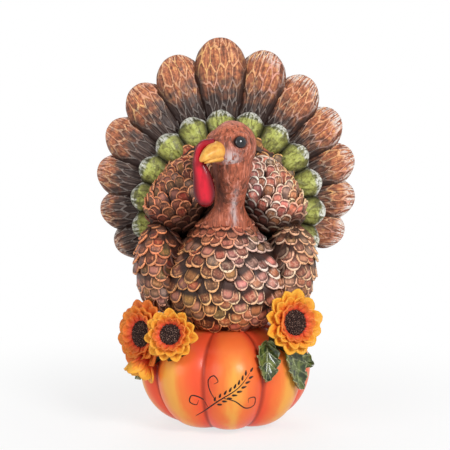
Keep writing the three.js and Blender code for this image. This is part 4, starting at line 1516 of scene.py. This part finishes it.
class TURKEY_OT_mantle(TurkeyOperator):
    """Models the scaled back behind the head and the boss that carries the fan"""

    bl_idname = "turkey.mantle"
    bl_label = "Mantle and rump"

    # Angles of the first and last ring of feathers from a dome's pole
    FIRST_TO_LAST = (0.14, 1.42)
    PITCH = 8.6 * MM
    FEATHER = (9.2 * MM, 13.6 * MM, 1.2 * MM, 40 * MM)
    MANTLE_BACK = 2.5 * MM

    def execute(self, context):
        fan = self.fan()
        dice = np.random.default_rng(31)
        paint = feather_paint(self.colours())
        wash = shade_wash_paint(self.colours())
        feather = small_feather()
        frame_of = fan_matrix(fan)
        turned = np.array(frame_of)[:3, :3]
        # Each dome: node, radius, depth where it faces, depth behind, place along Y, facing, rings
        domes = (
            ("mantle", fan.mantle_radius, fan.mantle_depth, self.MANTLE_BACK, -fan.covert_forward, -1, 6),
            ("rump", fan.rump_radius, fan.rump_depth, fan.rump_depth, fan.tuck, 1, 5),
        )
        for node, radius, depth, behind, shift, way, number in domes:
            core = add_ball(f"{node}_core", 64, 32)
            ball = points_of(core)
            y = ball[:, 1] * np.where(ball[:, 1] * way > 0, depth, behind)
            local = xyz(ball[:, 0] * radius, y + shift, ball[:, 2] * radius)
            place_points(core, moved(local, frame_of))
            finish_piece(core, wash, "plumage_brown", node)
            dome = egg_surface((0, shift, 0), np.array((radius, depth, radius)), (0, 0, 1), (0, way, 0))
            rings = (number, *self.FIRST_TO_LAST)
            points, outs, tips = rows_on(dome, 2 * math.pi * radius, self.PITCH, rings)
            points, outs, tips = moved(points, frame_of), outs @ turned.T, tips @ turned.T
            seats = seats_for(points, outs, tips, self.FEATHER, MANTLE_PATCHES, dice)
            lay_feathers(f"{node}_feathers", feather, seats, paint)
        return {"FINISHED"}


class TURKEY_OT_fan(TurkeyOperator):
    """Models the carved tail feathers and the ring of green feathers"""

    bl_idname = "turkey.fan"
    bl_label = "Fan"

    TAIL_GRID = (68, 140)
    GREEN_GRID = (36, 48)
    GREEN_CELLS = (2.2, 1.8)

    def execute(self, context):
        fan = self.fan()
        colours = self.colours()
        dice = np.random.default_rng(47)
        paint = tail_paint(colours)
        base = fan_matrix(fan)
        for i in range(-fan.pairs, fan.pairs + 1):
            down = abs(i) / fan.pairs
            side = (i > 0) - (i < 0)
            reach = mix(fan.top_reach, fan.side_reach, down)
            place = f"{'left' if i > 0 else 'right'}_{abs(i)}" if i else "top"
            frame_of = (
                base @ Matrix.Rotation(fan.turn + i * fan.step, 4, "Y")
                @ Matrix.Translation((0, fan.tuck if i else 0, 0)) @ Matrix.Rotation(-side * fan.tilt, 4, "Z")
            )
            cells = (fan.cells_across, (1 - PLAIN_SHARE) * (reach - fan.root) / fan.cell_length)
            piece = fan_feather(
                f"tail_{place}", frame_of, self.TAIL_GRID, cells, dice,
                root=fan.root, reach=reach, width=mix(fan.top_width, fan.side_width, down),
                root_share=0.22, thickness=fan.thickness, crown=fan.crown, ridge=fan.ridge,
                # The feathers towards -X take more smoke and less frost: partly their own paint, partly
                # painted shade on the side away from the light
                frost=0.5 + 0.5 * min(1, i / 3) if i > 0 else 0.15 + 0.35 * down,
                frost_from=0.4 if i > 0 else 0.55, smoke=0.08 * down if i > 0 else 0.34 * down,
            )
            finish_piece(piece, paint, "tail_paint", f"tail_feather_{place}")
        paint = green_paint(colours)
        for i in range(fan.coverts):
            frame_of = (
                base @ Matrix.Rotation(fan.covert_turn + i * fan.covert_step, 4, "Y")
                @ Matrix.Translation((0, -fan.covert_forward, 0))
            )
            piece = fan_feather(
                f"green_{i + 1}", frame_of, self.GREEN_GRID, self.GREEN_CELLS, dice,
                root=fan.covert_root, reach=fan.covert_reach, width=fan.covert_width, root_share=0.5,
                thickness=fan.covert_thickness, crown=fan.covert_crown, ridge=fan.ridge * 0.5,
                frost=0.8 + 0.2 * i / fan.coverts, frost_from=0.45,
            )
            finish_piece(piece, paint, "plumage_green", f"green_feather_{i + 1}")
        return {"FINISHED"}


class TURKEY_OT_head(TurkeyOperator):
    """Models the neck, head, eyes, beak and snood"""

    bl_idname = "turkey.head"
    bl_label = "Head"

    STROKE_RELIEF = 0.045
    CROWN_TAPER = 0.12
    # An eye's socket: half sizes along, across and into the head, its depth and the lid around it
    SOCKET = (5 * MM, 3.7 * MM, 7 * MM)
    SOCKET_DEPTH = 1.6 * MM
    LID_HEIGHT = 1.2 * MM
    LID_PLACE = 1.35
    LID_WIDTH = 0.35
    # A cheek: how far inward, forward and down from the eye, its swelling and its pale paint
    CHEEK = (3.8 * MM, 4.6 * MM, 9.6 * MM)
    CHEEK_HEIGHT = 1.0 * MM
    CHEEK_WIDTH = 6 * MM
    CHEEK_PAINT = 4.8 * MM
    BEAD_SHARE = 0.86
    BEAD_FLATNESS = 0.3
    BEAK_SINK = 3 * MM
    SNOOD_THINNESS = 0.7

    def execute(self, context):
        colours = self.colours()
        skin = skin_paint(colours)
        self.neck(skin)
        self.skull(skin)
        self.eyes(eye_paint())
        self.beak(beak_paint(colours))
        self.snood(snood_paint(colours))
        return {"FINISHED"}

    def neck(self, skin):
        bird = self.bird()
        piece = add_ball("neck_skin", 96, 80)
        ball = points_of(piece)
        bearing, up = bearing_of(ball), rise_of(ball)
        axis = neck_middle(bird, up)
        full = bib_point(bird, bearing, up)
        strokes = cloud(xyz(np.sin(bearing) * 2.2, np.cos(bearing) * 2.2, up * 2.4), 0.42)
        close = np.minimum(1, np.cos((up - 0.5) * math.pi) / 0.22)
        under = 1 - 0.11 * smooth(0.25, 0.15, up)
        swell = close * under * (1 + self.STROKE_RELIEF * strokes)
        place_points(piece, axis + (full - axis) * swell[:, None])
        # A pale stripe down the +X front of the neck, partly dry-brush and partly a painted highlight;
        # painted shade down the -X front and at the nape
        highlight_stripe = hill(bearing - 0.3, 0.2) * smooth(0.1, 0.3, up) * smooth(0.7, 0.4, up)
        wash = hill(bearing + 0.75, 0.5) * smooth(0.2, 0.5, up)
        nape_shade = smooth(0.5, 0.8, np.abs(bearing) / math.pi)
        mark(piece, "pale", 0.62 * highlight_stripe)
        mark(piece, "orange", 0.6 * smooth(0.4, 0.1, up))
        mark(piece, "dark", np.maximum(0.6 * wash, 0.5 * nape_shade))
        finish_piece(piece, skin, "skin_rust", "neck")

    def radii(self):
        bird = self.bird()
        return np.array((bird.head_width, bird.head_length, bird.head_height))

    def eye_outs(self):
        """Each eye's name and its place on the head, in the head's own frame."""
        bird = self.bird()
        for sign, name in ((-1, "eye_right"), (1, "eye_left")):
            yield name, np.array(facing(sign * bird.eye_angle, bird.eye_rise)) * self.radii()

    def skull(self, skin):
        bird = self.bird()
        piece = add_ball("head_skin", 112, 80)
        ball = points_of(piece)
        radii = self.radii()
        points = ball * radii
        points[:, 0] *= 1 - self.CROWN_TAPER * np.maximum(0, ball[:, 2])
        swell = 0.35 * MM * cloud(ball, 0.5)
        pale = np.zeros(len(ball))
        dark = np.zeros(len(ball))
        for _, out in self.eye_outs():
            look = unit(out)
            level = unit(np.cross((0, 0, 1), look))
            ways = np.stack([level, np.cross(look, level), look], -1)
            gap = np.linalg.norm((points - out) @ ways / self.SOCKET, axis=1)
            swell += self.LID_HEIGHT * hill(gap - self.LID_PLACE, self.LID_WIDTH)
            swell -= self.SOCKET_DEPTH * hill(gap, 1)
            dark = np.maximum(dark, 1 - smooth(0.85, 1.12, gap))
            inward, forward, down = self.CHEEK
            cheek = out - np.array((np.sign(out[0]) * inward, forward, down))
            aside = np.linalg.norm(points - cheek, axis=1)
            swell += self.CHEEK_HEIGHT * hill(aside, self.CHEEK_WIDTH)
            pale = np.maximum(pale, 0.8 * hill(aside, self.CHEEK_PAINT))
        place_points(piece, moved(points + unit(ball / radii) * swell[:, None], head_matrix(bird)))
        mark(piece, "pale", pale)
        mark(piece, "orange", 0.7 * smooth(0.2, 0.8, ball[:, 2]))
        mark(piece, "dark", 0.9 * dark)
        finish_piece(piece, skin, "skin_rust", "head")

    def eyes(self, black):
        bird = self.bird()
        for name, out in self.eye_outs():
            look = unit(out)
            piece = add_ball(f"{name}_bead", 48, 32)
            bead = points_of(piece) * bird.eye_radius * self.BEAD_SHARE
            bead -= np.outer(bead @ look, look) * self.BEAD_FLATNESS
            depth = np.max(bead @ look)
            place_points(piece, moved(bead + out - look * (depth - bird.eye_proud), head_matrix(bird)))
            finish_piece(piece, black, "eye_black", name)

    def beak(self, horn):
        bird = self.bird()
        root = -bird.head_length + self.BEAK_SINK
        width, height, drop = bird.beak_width, bird.beak_height, bird.beak_drop
        lower_width, lower_height, lower_place = width * 0.8, 2.8 * MM, -height * 0.7
        halves = (
            ("upper_beak", bird.beak_length, width, height, drop, 0.0),
            ("lower_beak", 12 * MM, lower_width, lower_height, drop / 2, lower_place),
        )
        for node, long, wide, high, hook, place in halves:
            piece = add_ball(f"{node}_horn", 64, 48)
            ball = points_of(piece)
            out = np.maximum(0, -ball[:, 1])
            x = ball[:, 0] * wide * (1 - 0.45 * out)
            z = ball[:, 2] * high * (1 - 0.3 * out) - hook * out ** 2 + place - bird.beak_fall
            y = ball[:, 1] * long + root
            points = xyz(x, y, z)
            dark = 0.5 * smooth(0.35, 0.0, out)
            if node == "upper_beak":
                for sign in (-1, 1):
                    nostril = (sign * wide * 0.55, root - long * 0.42, high * 0.35 - bird.beak_fall)
                    gap = np.linalg.norm(points - np.array(nostril), axis=1)
                    points[:, 0] -= sign * 0.8 * MM * hill(gap, 1.2 * MM)
                    dark = np.maximum(dark, hill(gap, 1.0 * MM))
            place_points(piece, moved(points, head_matrix(bird)))
            mark(piece, "dark", dark)
            finish_piece(piece, horn, "beak_yellow", node)

    def snood(self, flesh):
        bird = self.bird()
        side = -bird.beak_width - bird.snood_top / 3
        root = -bird.head_length + self.BEAK_SINK
        over = root - bird.beak_length / 2
        top = bird.beak_height - bird.beak_fall - bird.snood_top / 2
        fall = bird.snood_length
        stations = np.array((
            (0, root - bird.snood_top, top),
            (side * 0.68, over, top - fall * 0.04),
            (side * 0.98, over - 1 * MM, top - fall * 0.25),
            (side * 0.76, over + 1.4 * MM, top - fall * 0.6),
            (side * 0.62, over + 3.2 * MM, top - fall),
        ))
        piece = add_ball("snood_flap", 40, 72)
        ball = points_of(piece)
        along = 1 - rise_of(ball)
        around = np.arctan2(ball[:, 1], ball[:, 0])
        ahead = heading(lambda t: spline(stations, t), along)
        thin = np.array(Matrix.Rotation(bird.head_turn, 3, "Z") @ Vector((0, 1, 0)))
        wide = unit(np.cross(ahead, thin))
        radius = mix(bird.snood_top, bird.snood_end, smooth(0.38, 0.88, along))
        radius *= np.sqrt(np.clip(1 - np.maximum(0, (along - 0.84) / 0.16) ** 2, 0, 1))
        radius *= np.minimum(1, along / 0.03) ** 0.5
        radius *= 1 + 0.04 * np.sin(around * 3 + along * 5)
        across, through = np.cos(around), np.sin(around)
        points = (
            spline(stations, along) + wide * (radius * across)[:, None]
            + thin * (self.SNOOD_THINNESS * radius * through)[:, None]
        )
        place_points(piece, moved(points, head_matrix(bird)))
        face_outwards(piece)
        # Painted shade on the snood's rounded edges and at its end; its top is darker as well
        edges = np.maximum(smooth(0.1, 0.85, across), smooth(0.2, 0.9, -across)) * mix(0.75, 1, along)
        end = 0.85 * smooth(0.9, 0.98, along)
        mark(piece, "dark", np.maximum.reduce([edges, end, 0.5 * smooth(0.5, 0.2, along)]))
        finish_piece(piece, flesh, "snood_red", "snood")


# Sunflowers and leaves

# Each flower: name, its bearing and share of the pumpkin's radius, its rise in flower radii above
# the crown, the bearing and lift of its look, its size, its petals and how ruddy they are
FLOWERS = (
    ("right_front", -37, 1.02, 0.1, -14, 14, 0.82, 11, 0.15),
    ("right_back", -66, 1.03, -0.1, -45, 8, 1.05, 13, 0.85),
    ("left", 51, 0.99, 0.37, 32, 12, 1.0, 12, 0.0),
)


def looking(place, out):
    """Frame at a place whose Z looks along out, with Y as near as can be to up."""
    z = out.normalized()
    x = Vector((0, 0, 1)).cross(z).normalized()
    y = z.cross(x)
    turned = Matrix((x, y, z)).transposed().to_4x4()
    return Matrix.Translation(place) @ turned


# Stations along a petal with its half width at each, and the height of its relief
PETAL_ROWS = (0, 0.2, 0.42, 0.62, 0.8, 0.92, 1)
PETAL_HALVES = (0.4, 0.7, 0.94, 0.98, 0.76, 0.44, 0.06)
PETAL_RELIEF = 1.4 * MM


def petal_shape():
    """One broad petal: a spoon with a creased middle, lifted edges and a blunt point."""
    points, faces = take_tile(model_tile("petal", 4, len(PETAL_ROWS) - 1))
    across = points[:, 0]
    along = np.interp(points[:, 1], np.linspace(-1, 1, len(PETAL_ROWS)), PETAL_ROWS)
    x = 0.5 * across * np.interp(along, PETAL_ROWS, PETAL_HALVES)
    spoon = 1.1 * across ** 2 * np.sin(np.pi * along) ** 0.6 + 0.9 * smooth(0.6, 1, along)
    crease = 0.4 * hill(across, 0.3) * np.sin(np.pi * along)
    z = np.where(points[:, 2] > 0.5, 0.5 + spoon - crease, spoon - 0.5)
    return {"points": xyz(x, along, z), "faces": faces, "across": across, "along": along}


def ring_of_petals(petal, number, radius, ring, base, dice):
    """Petals around an axis, for a ring of start, length and width in radii, and tilt."""
    *sizes, tilt = ring
    start, long, wide = (size * radius for size in sizes)
    local = petal["points"]
    shift = dice.uniform(0, 1)
    parts = []
    for k in range(number):
        angle = (k + shift) * 2 * math.pi / number + dice.normal(0, 0.05)
        pitch = tilt + dice.normal(0, 0.07)
        x = local[:, 0] * wide * dice.uniform(0.9, 1.1)
        y = local[:, 1] * long * dice.uniform(0.9, 1.08)
        z = local[:, 2] * PETAL_RELIEF
        out = start + y * math.cos(pitch) - z * math.sin(pitch)
        up = base + y * math.sin(pitch) + z * math.cos(pitch)
        cos, sin = math.cos(angle), math.sin(angle)
        parts.append(xyz(out * cos - x * sin, out * sin + x * cos, up))
    return parts


class TURKEY_OT_flowers(TurkeyOperator):
    """Models the sunflowers, their seed discs, and the bud"""

    bl_idname = "turkey.flowers"
    bl_label = "Sunflowers"

    # Each ring of petals, in flower radii: start, length, width, tilt, and how ruddy it is
    RINGS = ((0.40, 0.64, 0.52, 0.06, 0.0), (0.38, 0.53, 0.46, 0.3, 0.2), (0.40, 0.33, 0.38, 0.55, 0.9))
    # Each ring of the bud: number of petals, then start, length and width in bud radii, and tilt
    BUD_RINGS = ((5, 0.3, 1.7, 1.35, 0.95), (5, 0.2, 1.5, 1.1, 1.2))
    # Bearing and angle of the bud on the pumpkin and of its look, and how proud it stands
    BUD_PLACE = (math.radians(-60), math.radians(17))
    BUD_LOOK = (math.radians(-66), math.radians(-58))
    BUD_PROUD = 4 * MM
    BUD_BLUSH = 0.12
    # Seeds in a disc of one millimetre's radius; larger discs have more by their area
    SEED_DENSITY = 2.2

    def execute(self, context):
        flowers = self.flowers()
        pumpkin = self.pumpkin()
        colours = self.colours()
        dice = np.random.default_rng(5)
        petals = petal_paint(colours)
        seeds = seed_paint(colours)
        calyx = plain_paint("calyx paint", colours.leaf, colours.umber, 0.4, 3 * MM)
        petal = petal_shape()
        crown = pumpkin.felt + pumpkin.height
        for name, bearing, reach, rise, look, lift, size, number, ruddy in FLOWERS:
            place = facing(math.radians(bearing), 0) * reach * pumpkin.radius
            place.z = crown + rise * flowers.radius
            frame_of = looking(place, facing(math.radians(look), math.radians(lift)))
            radius = size * flowers.radius
            self.petals(name, petal, radius, number, ruddy, frame_of, petals, dice)
            self.seeds(name, radius * flowers.seed_share, frame_of, seeds, dice)
            self.calyx(name, radius, frame_of, calyx)
        self.bud(petal, petals, dice)
        return {"FINISHED"}

    def petals(self, name, petal, radius, number, ruddy, frame_of, paint, dice):
        parts = []
        blush = []
        for layer, (*ring, red) in enumerate(self.RINGS):
            parts += ring_of_petals(petal, number, radius, ring, (layer - 0.8) * MM, dice)
            blush += [max(red, ruddy * dice.uniform(0.4, 1.1))] * number
        self.join(f"petals_{name}", petal, parts, blush, frame_of, paint, f"sunflower_{name}")

    def join(self, name, petal, parts, blush, frame_of, paint, node):
        points = np.array(parts)
        piece = piece_from(name, moved(points.reshape(-1, 3), frame_of), copies(points, petal["faces"]))
        face_outwards(piece)
        map_tiles(piece, np.tile((petal["across"] + 1) / 2, len(parts)), np.tile(petal["along"], len(parts)))
        mark(piece, "ruddy", np.repeat(np.clip(blush, 0, 1), points.shape[1]))
        finish_piece(piece, paint, "petal_orange", node)

    def seeds(self, name, radius, frame_of, paint, dice):
        flowers = self.flowers()
        deselect_all()
        bpy.ops.mesh.primitive_ico_sphere_add(subdivisions=1, radius=1)
        points, faces = take_tile(active_piece("seed"))
        number = round(self.SEED_DENSITY * (radius / MM) ** 2)
        k = np.arange(number)
        turn_by = k * math.pi * (3 - math.sqrt(5))
        out = radius * 0.97 * np.sqrt((k + 0.5) / number)
        dome = flowers.seed_dome * np.sqrt(np.maximum(0, 1 - (out / radius) ** 2))
        middle = xyz(out * np.cos(turn_by), out * np.sin(turn_by), dome + 1.2 * MM)
        size = radius / math.sqrt(number) * dice.uniform(0.85, 1.15, number)
        bumps = middle[:, None] + points[None] * size[:, None, None]
        ball, dome_faces = take_ball(32, 20)
        ball = ball * np.array((radius, radius, flowers.seed_dome)) + np.array((0, 0, 1.0 * MM))
        faces = dome_faces + shifted(copies(bumps, faces), len(ball))
        piece = piece_from(
            f"seeds_{name}", moved(np.concatenate([ball, bumps.reshape(-1, 3)]), frame_of), faces
        )
        tops = np.tile(np.clip(points[:, 2], 0, 1), number)
        mark(piece, "top", np.concatenate([np.zeros(len(ball)), tops]))
        finish_piece(piece, paint, "seed_brown", f"seed_disc_{name}")

    def calyx(self, name, radius, frame_of, paint):
        flowers = self.flowers()
        piece = add_ball(f"calyx_{name}", 40, 24)
        ball = points_of(piece)
        depth = (1 - ball[:, 2]) / 2
        around = np.arctan2(ball[:, 1], ball[:, 0])
        wide = radius * mix(0.72, 0.5, depth) * np.sqrt(np.clip(1 - ball[:, 2] ** 6, 0, 1))
        wide *= 1 + 0.05 * np.cos(around * 10)
        y = wide * np.sin(around) - flowers.calyx_drop * depth
        points = xyz(wide * np.cos(around), y, -flowers.calyx_length * depth)
        place_points(piece, moved(points, frame_of))
        face_outwards(piece)
        finish_piece(piece, paint, "leaf_green")

    def bud(self, petal, paint, dice):
        pumpkin = self.pumpkin()
        flowers = self.flowers()
        bearing, angle = self.BUD_PLACE
        place = Vector(pumpkin_point(pumpkin, np.array(bearing), np.array(angle)))
        proud = self.BUD_PROUD + pumpkin.groove * float(lobe_place(pumpkin, bearing)) ** 2
        frame_of = looking(place + facing(bearing, angle) * proud, facing(*self.BUD_LOOK))
        parts = []
        for number, *ring in self.BUD_RINGS:
            parts += ring_of_petals(petal, number, flowers.bud_radius, ring, 0, dice)
        blush = [self.BUD_BLUSH] * len(parts)
        self.join("bud_petals", petal, parts, blush, frame_of, paint, "bud_right")


# Each leaf: name, bearing and angle of its middle on the pumpkin, its turn, its size, and how far
# it looks away from that bearing
LEAVES = (
    ("left_inner", 32, 24, -16, 0.94, 0),
    ("left_middle", 52, 11, 12, 1.0, 0),
    ("left_outer", 70, 17, 58, 0.74, -38),
    ("right_lower", -77, 12, 8, 0.88, 0),
    ("right_back", -96, 26, -30, 0.82, 0),
)


class TURKEY_OT_leaves(TurkeyOperator):
    """Models the toothed leaves on the pumpkin"""

    bl_idname = "turkey.leaves"
    bl_label = "Leaves"

    # How proud a leaf stands, its teeth on each side and their depth, and heights of its relief
    PROUD = 1.5 * MM
    TEETH = 4
    TOOTH = 0.26
    CUP = 2.8 * MM
    VEIN = 0.4 * MM
    RIPPLE = 0.5 * MM

    def execute(self, context):
        pumpkin = self.pumpkin()
        flowers = self.flowers()
        paint = leaf_paint(self.colours())
        for name, bearing, angle, twist, size, aside in LEAVES:
            bearing, angle = math.radians(bearing), math.radians(angle)
            crest = pumpkin_point(pumpkin, np.array(bearing), np.array(angle))
            out = facing(bearing + math.radians(aside), angle)
            frame_of = looking(Vector(crest) + out * self.PROUD, out)
            frame_of = frame_of @ Matrix.Rotation(math.radians(twist), 4, "Z")
            self.leaf(name, size * flowers.leaf_length, size * flowers.leaf_width, frame_of, paint)
        return {"FINISHED"}

    def leaf(self, name, long, wide, frame_of, paint):
        flowers = self.flowers()
        pumpkin = self.pumpkin()
        piece = add_grid(f"leaf_{name}_blade", 40, 56)
        flat = points_of(piece)
        thicken(piece)
        across = flat[:, 0]
        along = (1 - flat[:, 1]) / 2
        outline = np.maximum(0.04, np.sin(np.pi * along ** 0.8) ** 0.6)
        saw = 1 - self.TOOTH * ((along * self.TEETH + 0.3) % 1) * across ** 2
        x = across * wide / 2 * outline * saw
        y = (0.5 - along) * long
        side = np.abs(across)
        branch = along * self.TEETH - side * 1.1
        rib = np.abs((branch % 1) - 0.5) * 2
        vein = np.maximum(1 - smooth(0.0, 0.09, side), smooth(0.8, 0.97, rib) * 0.7)
        z = -(x ** 2 + y ** 2) / (2 * pumpkin.radius)
        z += self.CUP * side ** 1.4 + self.VEIN * vein
        z += self.RIPPLE * np.cos(branch * 2 * math.pi) * side
        edge = np.maximum(side, 2 * np.abs(along - 0.5))
        half = flowers.leaf_thickness * (1 - 0.75 * smooth(0.8, 1, edge))
        points = np.concatenate([xyz(x, y, z), xyz(x, y, z - half)])
        place_points(piece, moved(points, frame_of))
        face_outwards(piece)
        mark_both(piece, vein=vein, edge=edge)
        finish_piece(piece, paint, "leaf_green", f"leaf_{name}")


class TURKEY_OT_stage(TurkeyOperator):
    """Sets the floor, the soft lights and the camera"""

    bl_idname = "turkey.stage"
    bl_label = "Stage"

    AIM = Vector((-0.0003, 0, 0.1228))
    DISTANCE = 1.1
    RISE = math.radians(8)
    LENS = 144.3
    AMBIENT = 0.28
    # The floor: its size and roughness; this share of it is plain white near the figure, all far on
    FLOOR_SIZE = 8
    FLOOR_ROUGHNESS = 0.9
    PAPER = 0.72
    SHADE_NEAR = 0.07
    SHADE_FAR = 0.3
    # Each light: place, size and power
    LIGHTS = {
        "key light": ((0.65, -1.0, 0.8), 0.45, 12.5),
        "fill light": ((-0.95, -0.9, 0.55), 0.8, 5.5),
        "back light": ((-0.1, 1.0, 0.9), 0.9, 5.0),
    }

    def execute(self, context):
        scene = context.scene
        scene.view_settings.view_transform = "Standard"
        self.floor()
        self.lights()
        self.world(scene)
        camera = bpy.data.cameras.new("camera")
        camera.lens = self.LENS
        holder = bpy.data.objects.new("camera", camera)
        back = Vector((0, -math.cos(self.RISE), math.sin(self.RISE)))
        holder.location = self.AIM + back * self.DISTANCE
        holder.rotation_euler = (-back).to_track_quat("-Z", "Y").to_euler()
        scene.collection.objects.link(holder)
        scene.camera = holder
        return {"FINISHED"}

    def floor(self):
        deselect_all()
        bpy.ops.mesh.primitive_plane_add(size=self.FLOOR_SIZE)
        floor = active_piece("floor")
        paint = Paint("floor")
        paint.feed(paint.shader.inputs["Base Color"], self.colours().floor)
        paint.feed(paint.shader.inputs["Roughness"], self.FLOOR_ROUGHNESS)
        away = paint.add("ShaderNodeVectorMath")
        away.operation = "LENGTH"
        paint.feed(away.inputs[0], paint.coordinates.outputs["Object"])
        near = paint.step(away.outputs["Value"], self.SHADE_NEAR, self.SHADE_FAR)
        white = paint.uneven(self.PAPER, near, 1 - self.PAPER)
        glow = paint.add("ShaderNodeEmission", Color=(1, 1, 1), Strength=1)
        blend = paint.add("ShaderNodeMixShader")
        paint.feed(blend.inputs["Fac"], paint.times(white, seen_ray(paint.tree)))
        paint.feed(blend.inputs[1], paint.shader.outputs[0])
        paint.feed(blend.inputs[2], glow.outputs[0])
        paint.feed(paint.tree.nodes["Material Output"].inputs["Surface"], blend.outputs[0])
        floor.data.materials.append(paint.material)

    def lights(self):
        for name, (place, size, power) in self.LIGHTS.items():
            light = bpy.data.lights.new(name, "AREA")
            light.size = size
            light.energy = power
            holder = bpy.data.objects.new(name, light)
            holder.location = place
            holder.rotation_euler = (self.AIM - Vector(place)).to_track_quat("-Z", "Y").to_euler()
            bpy.context.scene.collection.objects.link(holder)

    def world(self, scene):
        world = bpy.data.worlds.new("studio")
        world.use_nodes = True
        scene.world = world
        tree = world.node_tree
        shade = tree.nodes["Background"]
        shade.inputs["Color"].default_value = (1, 1, 1, 1)
        level = tree.nodes.new("ShaderNodeMapRange")
        level.inputs["To Min"].default_value = self.AMBIENT
        level.inputs["To Max"].default_value = 1.0
        tree.links.new(seen_ray(tree), level.inputs["Value"])
        tree.links.new(level.outputs["Result"], shade.inputs["Strength"])


def seen_ray(tree):
    """Socket that is 1 where the background is looked at, mirrored or looked at through glass."""
    path = tree.nodes.new("ShaderNodeLightPath")
    seen = path.outputs["Is Camera Ray"]
    for kind in ("Is Glossy Ray", "Is Transmission Ray"):
        either = tree.nodes.new("ShaderNodeMath")
        either.operation = "MAXIMUM"
        tree.links.new(seen, either.inputs[0])
        tree.links.new(path.outputs[kind], either.inputs[1])
        seen = either.outputs[0]
    return seen


class TURKEY_PT_panel(bpy.types.Panel):
    """Lists the figure's pieces and sizes"""

    bl_label = "Turkey"
    bl_idname = "TURKEY_PT_panel"
    bl_space_type = "VIEW_3D"
    bl_region_type = "UI"
    bl_category = "Turkey"

    def draw(self, context):
        for operator in OPERATORS:
            self.layout.operator(operator.bl_idname)
        for group, holder in GROUPS.items():
            box = self.layout.box()
            box.label(text=group.__doc__)
            for name in group.__annotations__:
                box.prop(getattr(context.scene, holder), name)


GROUPS = {
    PumpkinSizes: "turkey_pumpkin",
    BirdSizes: "turkey_bird",
    FanSizes: "turkey_fan",
    FlowerSizes: "turkey_flowers",
    PaintColours: "turkey_colours",
}
OPERATORS = (
    TURKEY_OT_foot, TURKEY_OT_pumpkin, TURKEY_OT_sprig, TURKEY_OT_body, TURKEY_OT_wings, TURKEY_OT_mantle,
    TURKEY_OT_fan, TURKEY_OT_head, TURKEY_OT_flowers, TURKEY_OT_leaves, TURKEY_OT_stage,
)
CLASSES = (*GROUPS, *OPERATORS, TURKEY_PT_panel)


def register():
    for kind in CLASSES:
        bpy.utils.register_class(kind)
    for group, name in GROUPS.items():
        setattr(bpy.types.Scene, name, PointerProperty(type=group))


def unregister():
    for name in GROUPS.values():
        delattr(bpy.types.Scene, name)
    for kind in reversed(CLASSES):
        bpy.utils.unregister_class(kind)


def main():
    register()
    bpy.ops.turkey.foot()
    bpy.ops.turkey.pumpkin()
    bpy.ops.turkey.sprig()
    bpy.ops.turkey.body()
    bpy.ops.turkey.wings()
    bpy.ops.turkey.mantle()
    bpy.ops.turkey.fan()
    bpy.ops.turkey.head()
    bpy.ops.turkey.flowers()
    bpy.ops.turkey.leaves()
    bpy.ops.turkey.stage()


if __name__ == "__main__":
    main()
